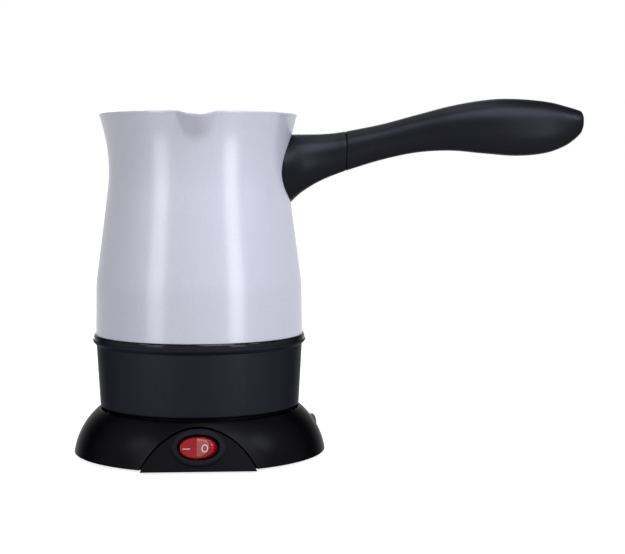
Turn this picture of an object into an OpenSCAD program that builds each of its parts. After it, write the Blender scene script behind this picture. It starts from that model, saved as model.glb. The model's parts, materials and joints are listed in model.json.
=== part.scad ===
// Electric Turkish coffee maker: a drawn steel jug with a heated foot and a straight handle,
// standing on a cordless power base with a lit rocker switch.
// Millimetres, +Z up. The origin is the centre of the round base on the resting plane,
// the pouring beak and the switch face -Y, and the handle points along +X.

/* [Base] */
// Diameter of the base at its lower edge
base_d = 124; // [121:0.5:132]
// Height of the dome, from the lower edge to the rim of the recess
dome_h = 21.3; // [20.5:0.1:24]
// Radius of the dome's side, seen in section
dome_arc_r = 34; // [30:0.5:45]
// Wall of the base shell
shell_wall = 1.8; // [1.4:0.1:2.4]
// How far the feet stand below the shell
foot_proud = 1; // [0.6:0.1:2]
// Diameter of the recess that the jug stands in
recess_d = 97; // [95.5:0.5:99]
// Depth of the recess
recess_depth = 4.1; // [3.2:0.1:4.4]
// Radius of the rim's rounded edge
rim_round = 0.9; // [0.5:0.1:1.2]
// Thickness of the bottom cover
cover_t = 1.5; // [1.2:0.1:2]

/* [Feet and cover screws] */
// Diameter of a rubber foot
foot_d = 11; // [8:0.5:13]
// How deep a foot sits in the cover
foot_pocket = 0.8; // [0.5:0.1:1]
// Distance of the feet's centres inside the base's edge
foot_inset = 12; // [11:0.5:16]
// Distance of the cover screws from the axis
cover_screw_r = 38; // [35:0.5:44]
// Diameter of the cover screws' bosses
cover_boss_d = 7; // [6:0.5:9]

/* [Switch panel] */
// How far the panel's lower edge stands inside the base's edge
panel_inset = 1; // [0.5:0.1:2]
// Lean of the panel, from upright
panel_lean = 22; // [18:0.5:24]
// Height of the arched panel, along its face
panel_h = 20.2; // [20:0.1:21]
// Radius of the arch's crown
crown_r = 21; // [18:0.5:22]
// Radius of the arch's flanks
flank_r = 37; // [34:0.5:40]
// Angle at which crown and flank meet
crown_angle = 25; // [20:1:30]
// Thickness of the panel's face
panel_t = 2; // [1.6:0.1:2.2]
// Wall of the panel's skirt
skirt_t = 1.6; // [1.2:0.1:2]
// Width of the groove around the panel
groove_w = 1.2; // [0.6:0.1:1.5]
// Depth of the groove around the panel
groove_depth = 1.1; // [0.6:0.1:1.3]

/* [Switch] */
// Length of the oval bezel
bezel_l = 24.3; // [23.8:0.1:26]
// Height of the oval bezel
bezel_h = 17.2; // [16.8:0.1:17.8]
// How far the bezel stands off the panel
bezel_t = 1.7; // [1.2:0.1:2.2]
// Length of the opening in the bezel
opening_l = 19.8; // [19.4:0.1:20.6]
// Height of the opening in the bezel
opening_h = 12.1; // [11.8:0.1:12.6]
// Wall of the switch barrel
barrel_wall = 0.85; // [0.7:0.05:1]
// Depth of the switch barrel behind the panel's face
barrel_depth = 5.6; // [5.4:0.1:5.8]
// Height of the switch's centre above the panel's lower edge
switch_rise = 11.1; // [11:0.05:11.3]
// Depth of the rocker's pivot behind the panel's face
pivot_depth = 4; // [3.8:0.1:4.1]
// Tilt of the rocker each way from its middle
rocker_tilt = 10; // [8:0.5:11]
// Height of the rocker's face above its pivot
rocker_rise = 6.2; // [6:0.1:6.8]
// Radius of the rocker's ends about its pivot
rocker_end_r = 9.6; // [9.2:0.1:9.6]
// Height of the rocker, across its length
rocker_w = 10.9; // [10:0.1:11.1]
// Wall of the rocker
rocker_wall = 1; // [0.8:0.1:1.2]
// Diameter of the rocker's trunnions
trunnion_d = 2; // [1.6:0.1:2.2]
// Depth of the contact block behind the barrel
block_depth = 6.2; // [6:0.1:6.4]
// Length of the contact block
block_l = 17; // [16:0.5:18]
// Height of the contact block
block_h = 8.6; // [8.2:0.1:8.8]
// Wall of the contact block
block_wall = 0.8; // [0.7:0.1:1]
// Tilt of the contact blade each way from its middle
blade_tilt = 7; // [5:0.5:8]

/* [Coupler] */
// Diameter of the plug that stands on the base
plug_d = 34; // [32:0.5:36]
// Height of the plug above the recess floor
plug_h = 10.6; // [9:0.1:11]
// Diameter of the plug's flange under the recess floor
plug_flange_d = 50; // [48:0.5:54]
// Thickness of the plug's flange
plug_flange_t = 2; // [1.6:0.1:2.4]
// Diameter of the live hole
live_hole_d = 6; // [5.6:0.1:6.4]
// Diameter of the live pin
live_pin_d = 3.6; // [3.2:0.1:4]
// Middle radius of the neutral ring
neutral_r = 8; // [7.8:0.1:8.4]
// Middle radius of the earth ring
earth_r = 13; // [12.8:0.1:13.2]
// Thickness of the contact rings
ring_t = 1; // [0.8:0.1:1.2]
// Width of the plug's round grooves
ring_groove_w = 3.2; // [3.1:0.1:3.4]
// Thickness of the contact leaves
leaf_t = 0.5; // [0.4:0.05:0.6]
// Distance of the coupler's screws from the axis
coupler_screw_r = 22; // [21.5:0.1:22.6]
// Wall of the jug's coupler socket
socket_wall = 2.2; // [1.8:0.1:2.6]

/* [Jug] */
// Radius of the jug's rim
rim_r = 48.4; // [47:0.1:50]
// Height of the rim above the resting plane
rim_z = 166.4; // [160:0.1:172]
// Radius of the jug's straight lower wall at the ring
belly_r = 51; // [50.6:0.1:51.4]
// Height at which the wall starts to draw in
shoulder_z = 83; // [78:0.5:90]
// Angle of the tapering wall, from upright
taper_angle = 7.55; // [6.5:0.05:8]
// Angle of the flared mouth, from upright
flare_angle = 14.8; // [13:0.1:17]
// Radius that blends taper and flare at the neck
neck_blend_r = 80; // [60:1:90]
// Thickness of the jug's steel
steel_t = 0.9; // [0.7:0.05:1.2]
// Radius of the jug's lower corner
pot_corner_r = 2.5; // [2:0.1:3]
// Radius of the pressed beak
beak_r = 12; // [10:0.5:13]
// How far the beak stands out of the rim
beak_reach = 4.6; // [3:0.1:6]
// Depth of the beak's crease below the rim
beak_drop = 13.2; // [10:0.1:15]
// Dip of the rim over the beak
beak_dip = 1.7; // [0.8:0.1:2.4]

/* [Heated foot] */
// Gap between the underside of the housing and the rim of the recess
foot_gap = 0.6; // [0.4:0.1:1]
// Height of the housing, from its underside to its lip
housing_h = 33.3; // [33:0.1:36]
// How far the housing stands inside the jug's lower wall, under its lip
housing_inset = 0.3; // [0:0.1:0.7]
// How much the housing narrows from its lip to its foot
housing_draft = 1.7; // [1.3:0.1:2.1]
// Wall of the housing
housing_wall = 2; // [1.6:0.1:2.2]
// How far the housing's lip stands out from the jug's lower wall
lip_proud = 1.4; // [1.2:0.1:2]
// Height of the trim ring above the lip
trim_h = 2.5; // [2.2:0.1:3]
// How far the trim ring stands inside the lip
trim_inset = 0.3; // [0.2:0.1:0.5]
// Radius of the foot ring that stands in the recess, outside
foot_ring_r = 45; // [44:0.1:45.6]
// Wall of the foot ring
foot_ring_t = 3; // [2:0.1:4]
// Radius of the heat plate
plate_r = 40; // [39.2:0.1:41]
// Thickness of the heat plate
plate_t = 2.5; // [2:0.1:3]
// Middle radius of the heating element
element_r = 27.5; // [26:0.1:27.8]
// Diameter of the heating element's tube
element_d = 6.6; // [6:0.1:7]
// Open angle between the element's two ends
element_gap_angle = 50; // [40:1:60]
// Distance of the housing screws from the axis
post_r = 35.4; // [35:0.1:35.6]
// Diameter of the threaded posts
post_d = 7; // [6:0.1:7.2]

/* [Handle] */
// Distance from the axis to the seam between neck and grip
seam_x = 72.4; // [68:0.2:76]
// Distance from the axis to the end of the grip
grip_end_x = 191.3; // [180:0.5:205]
// Lift of the whole handle
handle_lift = 0; // [-3:0.5:3]
// Width of the grip at its fullest, next to its modelled width
grip_fullness = 1; // [0.85:0.01:1.15]
// Width of the steel tongue
tongue_w = 9; // [7:0.5:10]
// Thickness of the steel tongue
tongue_t = 3; // [2:0.1:4]
// Slope of the steel tongue
tongue_slope = 13; // [12:0.5:14]
// How far the tongue runs into the grip
tongue_run = 30; // [24:1:36]
// Thickness of the welded saddle
saddle_t = 1.5; // [1.2:0.1:2]

/* [Cord inlet] */
// Bearing of the cord inlet, from +X
inlet_angle = 20; // [12:1:40]
// Height of the cord inlet above the resting plane
inlet_z = 9; // [8.6:0.1:9.4]
// Bore of the inlet bushing
inlet_bore_d = 7; // [6:0.1:7.4]
// Diameter of the inlet bushing's neck
bushing_d = 10; // [9.6:0.1:10.4]

/* [Fits] */
// Gap between parts that turn or slide on each other
running_fit = 0.05; // [0.02:0.01:0.1]
// Gap around a screw in its hole
screw_fit = 0.1; // [0.05:0.01:0.2]
// Gap between fixed parts that fit together
seat_gap = 0.2; // [0.1:0.05:0.3]
// Gap between parts that pass each other
body_gap = 0.3; // [0.25:0.05:0.5]

/* [Hidden] */
$fn = 96;
eps = 0.01;
far = 300;

// ---- heights and radii that follow from the driving sizes ----
base_r = base_d / 2;
foot_r = base_r - foot_inset;
panel_reach = base_r - panel_inset;
recess_r = recess_d / 2;
shell_z = foot_proud;
dome_top_z = shell_z + dome_h;
recess_z = dome_top_z - recess_depth;
recess_under_z = recess_z - shell_wall;
cover_top_z = shell_z + cover_t;
plug_top_z = recess_z + plug_h;
plug_flange_z = recess_under_z - plug_flange_t;
housing_z = dome_top_z + foot_gap;
housing_top_r = belly_r - housing_inset;
housing_foot_r = housing_top_r - housing_draft;
lip_r = belly_r + lip_proud;
trim_r = lip_r - trim_inset;
housing_floor_t = 2;
housing_floor_z = housing_z + housing_floor_t;
lip_z = housing_z + housing_h;
trim_z = lip_z + trim_h;
ledge_z = lip_z - 1.8;
pot_under_z = trim_z - 0.5 - pot_corner_r;
plate_under_z = pot_under_z - plate_t;
socket_roof_z = plug_top_z + 0.9;
socket_roof_t = 2.6;
socket_top_z = socket_roof_z + socket_roof_t;
bead = 0.6;

// ---- curves ----
// Points of an arc from a to b whose centre lies to the left of the way from a to b.
function arc_between(a, b, r, n) =
    let (d = b - a, l = norm(d), m = (a + b) / 2, c = m + [-d[1], d[0]] / l * sqrt(r * r - l * l / 4),
         a0 = atan2(a[1] - c[1], a[0] - c[0]), a1 = atan2(b[1] - c[1], b[0] - c[0]),
         turn = (a1 - a0 + 540) % 360 - 180)
    [for (i = [0:n]) c + r * [cos(a0 + turn * i / n), sin(a0 + turn * i / n)]];

// Points that round the corner b of the path a, b, c with radius r.
function rounded_corner(a, b, c, r, n) =
    let (u = (a - b) / norm(a - b), v = (c - b) / norm(c - b), half = acos(u * v) / 2,
         o = b + (u + v) / norm(u + v) * r / sin(half),
         s = b + u * r / tan(half), e = b + v * r / tan(half),
         a0 = atan2(s[1] - o[1], s[0] - o[0]), a1 = atan2(e[1] - o[1], e[0] - o[0]),
         turn = (a1 - a0 + 540) % 360 - 180)
    [for (i = [0:n]) o + r * [cos(a0 + turn * i / n), sin(a0 + turn * i / n)]];

// Slope of a smooth curve through the points p at its point i.
function knot_slope(p, i) =
    let (lo = max(i - 1, 0), hi = min(i + 1, len(p) - 1)) (p[hi][1] - p[lo][1]) / (p[hi][0] - p[lo][0]);

// Height at x of a smooth curve through the points p, whose x values rise.
function curve_at(p, x) =
    let (i = max([for (k = [0:len(p) - 2]) if (x >= p[k][0] || k == 0) k]), w = p[i + 1][0] - p[i][0],
         t = min(max((x - p[i][0]) / w, 0), 1))
    p[i][1] * (2 * pow(t, 3) - 3 * t * t + 1) + knot_slope(p, i) * w * (pow(t, 3) - 2 * t * t + t)
    + p[i + 1][1] * (3 * t * t - 2 * pow(t, 3)) + knot_slope(p, i + 1) * w * (pow(t, 3) - t * t);

// Point at t, from 0 to 1, of a smooth way through the points p.
function way_at(p, t) =
    let (s = min(t * (len(p) - 1), len(p) - 1 - 1e-6), i = floor(s), f = s - i,
         b = p[i], c = p[i + 1], a = i > 0 ? p[i - 1] : 2 * b - c,
         d = i + 2 < len(p) ? p[i + 2] : 2 * c - b)
    0.5 * (2 * b + (c - a) * f + (2 * a - 5 * b + 4 * c - d) * f * f + (3 * b - a - 3 * c + d) * pow(f, 3));

function super_ellipse(a, b, power, n) =
    [for (i = [0:n - 1]) let (c = cos(360 * i / n), s = sin(360 * i / n))
        [a * sign(c) * pow(abs(c), 2 / power), b * sign(s) * pow(abs(s), 2 / power)]];

// A closed solid through a list of rings that all have the same number of points.
module loft(rings) {
    n = len(rings[0]);
    last = len(rings) - 1;
    sides = [for (i = [0:last - 1], j = [0:n - 1])
        let (k = (j + 1) % n) [i * n + j, i * n + k, (i + 1) * n + k, (i + 1) * n + j]];
    first_cap = [[for (j = [n - 1:-1:0]) j]];
    last_cap = [[for (j = [0:n - 1]) last * n + j]];
    polyhedron([for (r = rings) each r], concat(first_cap, sides, last_cap), convexity = 8);
}

// A round lead along the smooth way through the points p.
module lead(p, d, rings = 22, side = [0.31, 0.52, 0.79]) {
    step = 1 / (rings - 1);
    loft([for (i = [0:rings - 1])
        let (o = way_at(p, i * step), t = way_at(p, min(i * step + 0.01, 1)) - way_at(p, max(i * step - 0.01, 0)),
             u = cross(t, side) / norm(cross(t, side)), v = cross(u, t) / norm(t))
        [for (k = [0:7]) o + d / 2 * (u * cos(45 * k) + v * sin(45 * k))]]);
}

module around(count, radius, first = 0)
    for (i = [0:count - 1]) rotate(first + 360 * i / count) translate([radius, 0, 0]) children();

module tube(outer_r, inner_r, h)
    difference() {
        cylinder(r = outer_r, h = h);
        translate([0, 0, -1]) cylinder(r = inner_r, h = h + 2);
    }

// A pan-head screw that points up, with its head's underside at z = 0.
module screw(d, length, head_d, head_h) {
    difference() {
        translate([0, 0, -head_h]) cylinder(d = head_d, h = head_h);
        for (a = [0, 90]) rotate(a) translate([-head_d * 0.3, -0.3, -head_h - 1]) cube([head_d * 0.6, 0.6, 1.6]);
    }
    cylinder(d = d, h = length);
}

// A flat tab with a hole, pointing along +Z from z = 0.
module tab(w, t, length, hole_d = 1.6)
    difference() {
        translate([-w / 2, -t / 2, 0]) cube([w, t, length]);
        translate([0, t, length - w * 0.45]) rotate([90, 0, 0]) cylinder(d = hole_d, h = 2 * t);
    }

// The folded sleeve that is pushed over a tab, from z = 0 along +Z.
module spade_socket(w, t, length, crimp_d, crimp_h = 2.4) {
    slot = seat_gap;
    difference() {
        translate([-w / 2 - slot - 0.4, -t / 2 - slot - 0.4, 0]) cube([w + 2 * slot + 0.8, t + 2 * slot + 0.8, length]);
        translate([-w / 2 - slot, -t / 2 - slot, -1]) cube([w + 2 * slot, t + 2 * slot, length + 0.2]);
    }
    translate([0, 0, length]) cylinder(d = crimp_d, h = crimp_h);
}

// ---- base: shell, panel, cover, feet ----
dome_edge_angle = 50;
rim_centre = [recess_r + rim_round, dome_top_z - rim_round];
dome_end = rim_centre + rim_round * [cos(dome_edge_angle), sin(dome_edge_angle)];
dome_start = [base_r, shell_z];
dome_chord = dome_end - dome_start;
dome_centre = (dome_start + dome_end) / 2 + [-dome_chord[1], dome_chord[0]] / norm(dome_chord)
    * sqrt(pow(dome_arc_r, 2) - pow(norm(dome_chord) / 2, 2));
inner_dome_r = dome_arc_r - shell_wall;
cover_r = dome_centre[0] + sqrt(pow(inner_dome_r, 2) - pow(cover_top_z - dome_centre[1], 2)) - body_gap;
collar_r = plug_flange_d / 2;
collar_h = 2;
cover_seat_t = 3.1;
cover_screw_d = 3;
cover_screw_head_h = 1.8;
cover_bearings = [90, 210, 330];
skirt_depth = 9;

// The dome as a filled solid, with its side moved in by inset, down to the height low.
module dome_solid(inset, low) {
    r = dome_arc_r - inset;
    a0 = asin((low - dome_centre[1]) / r);
    a1 = atan2(dome_end[1] - dome_centre[1], dome_end[0] - dome_centre[0]);
    side = [for (i = [0:20]) let (a = a0 + (a1 - a0) * i / 20) dome_centre + r * [cos(a), sin(a)]];
    rotate_extrude() polygon(concat([[0, low]], side, [[0, side[20][1]]]));
}

module dome_outside() {
    side = arc_between(dome_start, dome_end, dome_arc_r, 20);
    rim = [for (i = [1:8]) let (a = dome_edge_angle + (180 - dome_edge_angle) * i / 8)
        rim_centre + rim_round * [cos(a), sin(a)]];
    rotate_extrude() polygon(concat([[0, shell_z]], side, rim, [[recess_r, recess_z], [0, recess_z]]));
}

module at_panel() translate([0, -panel_reach, shell_z]) rotate([90 - panel_lean, 0, 0]) children();

// Place in the object's own axes of a point behind the panel's face.
function panel_point(x, rise, depth) =
    [x, rise * sin(panel_lean) + depth * cos(panel_lean) - panel_reach,
     shell_z + rise * cos(panel_lean) - depth * sin(panel_lean)];

// Outline of the arched panel, grown all round, with its foot below the lower edge.
module arch(grow) {
    foot = -12;
    spread = flank_r - crown_r;
    crown = [0, panel_h - crown_r];
    flank = crown - spread * [sin(crown_angle), cos(crown_angle)];
    r = flank_r + grow;
    low = asin((foot - flank[1]) / r);
    high = 90 - crown_angle;
    side = [for (i = [0:12]) let (a = low + (high - low) * i / 12) flank + r * [cos(a), sin(a)]];
    top = [for (i = [1:11]) let (a = high + 2 * crown_angle * i / 12) crown + (crown_r + grow) * [cos(a), sin(a)]];
    polygon(concat(side, top, [for (i = [12:-1:0]) [-side[i][0], side[i][1]]]));
}

// Section of the panel's skirt, grown both ways.
module skirt_ring(grow)
    difference() {
        arch(grow);
        arch(-skirt_t - grow);
    }

module oval(length, height, power = 2.2) polygon(super_ellipse(length / 2, height / 2, power, 64));

// Space behind the panel's face that the recess leaves free.
module outside_recess(gap)
    difference() {
        translate([-base_r, -far, shell_z]) cube([base_d, far, far]);
        translate([0, 0, recess_under_z - gap]) cylinder(r = recess_r + shell_wall + gap, h = far);
    }

module base_shell() color("#1c1d21") {
    hole_r = plug_d / 2 + body_gap;
    difference() {
        union() {
            difference() {
                dome_outside();
                difference() {
                    dome_solid(shell_wall, shell_z - 1);
                    translate([0, 0, recess_under_z]) cylinder(r = recess_r + shell_wall, h = far);
                }
                // Through hole for the panel, and the groove that runs round it.
                intersection() {
                    at_panel() translate([0, 0, -30]) linear_extrude(60) arch(body_gap);
                    difference() {
                        translate([-base_r, -far, 0]) cube([base_d, far, far]);
                        cylinder(r = recess_r + shell_wall, h = far);
                    }
                }
                difference() {
                    at_panel() translate([0, 0, -12]) linear_extrude(30) arch(groove_w);
                    dome_solid(groove_depth, -1);
                    cylinder(r = recess_r + rim_round, h = far);
                }
            }
            translate([0, 0, recess_z - eps]) tube(collar_r, hole_r, collar_h + eps);
            for (a = cover_bearings) rotate(a) translate([cover_screw_r, 0, shell_z + cover_seat_t])
                cylinder(d = cover_boss_d, h = recess_under_z + eps - shell_z - cover_seat_t);
        }
        cylinder(r = hole_r, h = far);
        for (a = cover_bearings) rotate(a) translate([cover_screw_r, 0, 0])
            cylinder(d = cover_screw_d + 2 * screw_fit, h = shell_z + 13);
        around(3, coupler_screw_r, 30) translate([0, 0, recess_under_z - 1])
            cylinder(d = plug_screw_d + 2 * screw_fit, h = 4);
        rotate(inlet_angle) translate([recess_r, 0, inlet_z]) rotate([0, 90, 0])
            cylinder(d = bushing_d + 2 * screw_fit, h = 20);
        switch_room(seat_gap);
    }
}

module switch_panel() color("#1b1c20")
    difference() {
        intersection() {
            at_panel() union() {
                translate([0, 0, -panel_t]) linear_extrude(panel_t) arch(0);
                translate([0, 0, -skirt_depth]) linear_extrude(skirt_depth) skirt_ring(0);
            }
            outside_recess(body_gap);
        }
        at_panel() translate([0, switch_rise, -barrel_depth]) linear_extrude(2 * barrel_depth)
            oval(barrel_l + 2 * seat_gap, barrel_h + 2 * seat_gap);
    }

module base_cover() color("#202126") {
    foot_w = 44;
    foot_y = -panel_reach + panel_t / cos(panel_lean) + cover_t * tan(panel_lean) + body_gap;
    post_z = inlet_z + 1.2;
    difference() {
        union() {
            difference() {
                union() {
                    translate([0, 0, shell_z]) cylinder(r = cover_r, h = cover_t);
                    translate([-foot_w / 2, foot_y, shell_z]) cube([foot_w, -foot_y, cover_t]);
                }
                at_panel() {
                    translate([0, 0, -skirt_depth - body_gap]) linear_extrude(2 * skirt_depth) skirt_ring(body_gap);
                    translate([0, 0, -panel_t - body_gap]) linear_extrude(2 * skirt_depth) arch(body_gap);
                }
            }
            for (a = cover_bearings) rotate(a) translate([cover_screw_r, 0, shell_z])
                cylinder(d = cover_boss_d + 3, h = cover_seat_t);
            rotate(inlet_angle) for (side = [-1, 1]) translate([clamp_r, side * clamp_half, shell_z])
                cylinder(d = clamp_post_d, h = post_z - shell_z);
        }
        around(4, foot_r, 45) translate([0, 0, shell_z - 1]) cylinder(d = foot_d + seat_gap, h = 1 + foot_pocket);
        for (a = cover_bearings) rotate(a) translate([cover_screw_r, 0, 0]) {
            cylinder(d = cover_screw_d + 0.4, h = 10);
            cylinder(d = cover_screw_d * 1.9 + 0.4, h = shell_z + cover_screw_head_h + 0.1);
        }
        rotate(inlet_angle) for (side = [-1, 1]) translate([clamp_r, side * clamp_half, shell_z + 1])
            cylinder(d = clamp_screw_d + 2 * screw_fit, h = 20);
    }
}

module rubber_feet() color("#2b2b2b")
    around(4, foot_r, 45) difference() {
        cylinder(d = foot_d, h = shell_z + foot_pocket);
        translate([0, 0, -1]) cylinder(d = foot_d * 0.35, h = 1.4);
    }

module cover_screws() color("#9a9da1")
    for (a = cover_bearings) rotate(a) translate([cover_screw_r, 0, shell_z + cover_screw_head_h + 0.1])
        screw(cover_screw_d, 9, cover_screw_d * 1.9, cover_screw_head_h - 0.1);

// ---- cordless coupler, base half ----
plug_screw_d = 2.5;
groove_floor_z = plug_top_z - 10.4;
ring_low_z = groove_floor_z + 1.6;
leaf_top_z = plug_top_z - 1.2;
tab_w = 4.8;
tab_t = 0.8;
tab_h = 6;
live_leaf_r = live_pin_d / 2 + body_gap;
neutral_leaf_r = neutral_r + ring_t / 2 + body_gap;
earth_leaf_r = earth_r + ring_t / 2 + body_gap;
live_bearing = -90;
neutral_bearing = 40;
earth_bearing = 100;
sleeve_h = 6.6;
crimp_h = 2.4;
crimp_d = 2.6;

module leaf_slot(radius, w)
    translate([radius - screw_fit, -w / 2 - screw_fit, plug_flange_z - 1])
        cube([leaf_t + 2 * screw_fit, w + 2 * screw_fit, groove_floor_z - plug_flange_z + 2]);

module coupler_plug() color("#17181b")
    difference() {
        union() {
            translate([0, 0, plug_flange_z]) cylinder(d = plug_flange_d, h = plug_flange_t);
            translate([0, 0, plug_flange_z]) cylinder(d = plug_d, h = plug_top_z - plug_flange_z - 1);
            translate([0, 0, plug_top_z - 1]) cylinder(d1 = plug_d, d2 = plug_d - 2, h = 1);
        }
        translate([0, 0, groove_floor_z]) cylinder(d = live_hole_d, h = far);
        for (r = [neutral_r, earth_r]) translate([0, 0, groove_floor_z])
            difference() {
                cylinder(r = r + ring_groove_w / 2, h = far);
                translate([0, 0, -1]) cylinder(r = r - ring_groove_w / 2, h = far + 2);
            }
        rotate(live_bearing) leaf_slot(live_leaf_r, live_leaf_w);
        rotate(neutral_bearing) leaf_slot(neutral_leaf_r, ring_leaf_w);
        rotate(earth_bearing) leaf_slot(earth_leaf_r, ring_leaf_w);
        around(3, coupler_screw_r, 30) cylinder(d = plug_screw_d + 2 * screw_fit, h = far);
    }

live_leaf_w = 1.6;
ring_leaf_w = 3.4;

module contact(bearing, radius, w) color("#c9a24b")
    rotate(bearing) {
        translate([radius, -w / 2, plug_flange_z - 1]) cube([leaf_t, w, leaf_top_z - plug_flange_z + 1]);
        translate([radius + leaf_t / 2, 0, plug_flange_z]) rotate([180, 0, 90]) tab(tab_w, tab_t, tab_h);
    }
module live_contact() contact(live_bearing, live_leaf_r, live_leaf_w);
module neutral_contact() contact(neutral_bearing, neutral_leaf_r, ring_leaf_w);
module earth_contact() contact(earth_bearing, earth_leaf_r, ring_leaf_w);

module plug_screws() color("#9a9da1")
    around(3, coupler_screw_r, 30) translate([0, 0, plug_flange_z]) screw(plug_screw_d, 4.6, 4.6, 1.4);

// ---- rocker switch ----
barrel_l = opening_l + 2 * barrel_wall;
barrel_h = opening_h + 2 * barrel_wall;
block_floor = barrel_depth + block_depth;
block_inner = block_floor - block_wall;
blade_depth = block_inner - 1.15;
blade_t = 0.4;
blade_l = 10.6;
blade_w = 4;
blade_rod_d = 1;
ear_y = 2.3;
ear_t = 0.7;
terminal_x = 5.2;
switch_tab_w = 3.8;
switch_sleeve_h = 4.4;
switch_crimp_h = 1.4;
terminal_l = switch_sleeve_h - 1;
plunger_d = 2.3;
plunger_sleeve_d = 4;
plunger_low = -3.2;
plunger_tip = plunger_d / 2;
plunger_reach = blade_depth - pivot_depth - blade_t / 2 - 0.25 - plunger_tip;
face_dip = 0.5;
web_top = 1.6;
lamp_d = 2.6;
lamp_l = 7;
resistor_d = 1.6;

module at_switch() at_panel() translate([0, switch_rise, 0]) children();
module at_rocker() at_switch() translate([0, 0, -pivot_depth]) rotate([0, -rocker_tilt, 0]) children();

// The space that the switch takes, with a gap around it.
module switch_room(gap)
    at_switch() {
        linear_extrude(bezel_t + gap) oval(bezel_l + 2 * gap, bezel_h + 2 * gap, 2);
        translate([0, 0, -barrel_depth - gap]) linear_extrude(barrel_depth + 2 * gap)
            oval(barrel_l + 2 * gap, barrel_h + 2 * gap);
        translate([-block_l / 2 - gap, -block_h / 2 - gap, -block_floor - gap])
            cube([block_l + 2 * gap, block_h + 2 * gap, block_depth + 2 * gap]);
    }

module switch_frame() color("#2a2c30")
    at_switch() difference() {
        union() {
            linear_extrude(bezel_t - bead) oval(bezel_l, bezel_h, 2);
            translate([0, 0, bezel_t - bead - eps]) linear_extrude(bead + eps) oval(bezel_l - 2 * bead, bezel_h - 2 * bead, 2);
            translate([0, 0, -barrel_depth]) linear_extrude(barrel_depth + eps) oval(barrel_l, barrel_h);
            translate([-block_l / 2, -block_h / 2, -block_floor]) cube([block_l, block_h, block_depth + eps]);
            // Snap wings that grip behind the panel.
            for (side = [-1, 1]) translate([side * barrel_l / 2 - 0.6, -2.5, -panel_t - 2.1]) cube([1.2, 5, 1.9]);
        }
        translate([0, 0, -barrel_depth + block_wall]) linear_extrude(far) oval(opening_l, opening_h);
        translate([-block_l / 2 + block_wall, -block_h / 2 + block_wall, -block_inner])
            cube([block_l - 2 * block_wall, block_h - 2 * block_wall, block_inner]);
        translate([0, 0, -pivot_depth]) rotate([90, 0, 0])
            cylinder(d = trunnion_d + 2 * running_fit, h = 2 * barrel_h, center = true);
        for (x = [-terminal_x, 0, terminal_x])
            translate([x - switch_tab_w / 2 - screw_fit, -tab_t / 2 - screw_fit, -block_floor - 1])
                cube([switch_tab_w + 2 * screw_fit, tab_t + 2 * screw_fit, block_wall + 2]);
    }

module rocker_outline(length, low, high)
    translate([0, 0, low]) linear_extrude(high - low) oval(length, rocker_w, 2.1);

module rocker() color("#c1121c") {
    low = pivot_depth - barrel_depth + block_wall + body_gap;
    end_low = low + rocker_end_r * tan(rocker_tilt + 1);
    face_w = rocker_w * 0.94;
    slope_low = rocker_rise - 1.8;
    cavity_l = 12;
    at_rocker() difference() {
        union() {
            difference() {
                intersection() {
                    rocker_outline(opening_l - 1.6, low, rocker_rise + 1);
                    rotate([90, 0, 0]) cylinder(r = rocker_end_r, h = 2 * rocker_w, center = true);
                    rotate([90, 0, 90]) translate([0, 0, -opening_l]) linear_extrude(2 * opening_l)
                        polygon([[-rocker_w / 2, low - 1], [rocker_w / 2, low - 1], [rocker_w / 2, slope_low],
                                 [face_w / 2, rocker_rise], [-face_w / 2, rocker_rise], [-rocker_w / 2, slope_low]]);
                    rotate([90, 0, 0]) translate([0, 0, -rocker_w]) linear_extrude(2 * rocker_w)
                        polygon([[-rocker_end_r, end_low], [0, low], [rocker_end_r, end_low],
                                 [rocker_end_r, rocker_rise + 0.2],
                                 [0, rocker_rise - face_dip], [-rocker_end_r, rocker_rise + 0.2]]);
                }
                translate([-cavity_l / 2, -rocker_w / 2 + rocker_wall, low - 1])
                    cube([cavity_l, rocker_w - 2 * rocker_wall, rocker_rise - face_dip - rocker_wall - low + 1]);
            }
            translate([-1.4, -rocker_w / 2 + rocker_wall - eps, low])
                cube([2.8, rocker_w - 2 * rocker_wall + 2 * eps, web_top - low]);
            rotate([90, 0, 0]) cylinder(d = trunnion_d, h = barrel_h - 0.2, center = true);
            translate([0, 0, plunger_low]) cylinder(d = plunger_sleeve_d, h = web_top - plunger_low);
        }
        translate([0, 0, plunger_low - 1]) cylinder(d = plunger_d + 2 * running_fit, h = web_top - plunger_low + 0.4);
    }
}

module rocker_plunger() color("#e7e2d3")
    at_rocker() {
        translate([0, 0, -plunger_reach]) cylinder(d = plunger_d, h = plunger_reach - 1.2);
        translate([0, 0, -plunger_reach]) sphere(d = plunger_d);
    }

// Helical spring between the plunger and the roof of its bore.
module rocker_spring() color("#b9bcc0") {
    turns = 4;
    wire_d = 0.3;
    coil_r = plunger_d / 2 - 0.3;
    low = -1.2 + wire_d / 2;
    high = web_top - 0.6 - wire_d / 2;
    steps = 12 * turns;
    at_rocker() loft([for (i = [0:steps])
        let (a = 360 * turns * i / steps, z = low + (high - low) * i / steps, out = [cos(a), sin(a), 0])
        [for (k = [0:5]) coil_r * out + [0, 0, z] + wire_d / 2 * (out * cos(60 * k) + [0, 0, 1] * sin(60 * k))]]);
}

module contact_blade() color("#c9a24b")
    at_switch() translate([0, 0, -blade_depth]) rotate([0, blade_tilt, 0]) {
        difference() {
            translate([-blade_l / 2, -blade_w / 2, -blade_t / 2]) cube([blade_l, blade_w, blade_t]);
            translate([0, 0, -1]) for (side = [-1, 1]) translate([-1, side * ear_y - ear_t / 2 - 0.15, 0])
                cube([2, ear_t + 0.3, 2]);
        }
        rotate([90, 0, 0]) cylinder(d = blade_rod_d, h = 2 * ear_y + ear_t + 0.6, center = true);
    }

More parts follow.
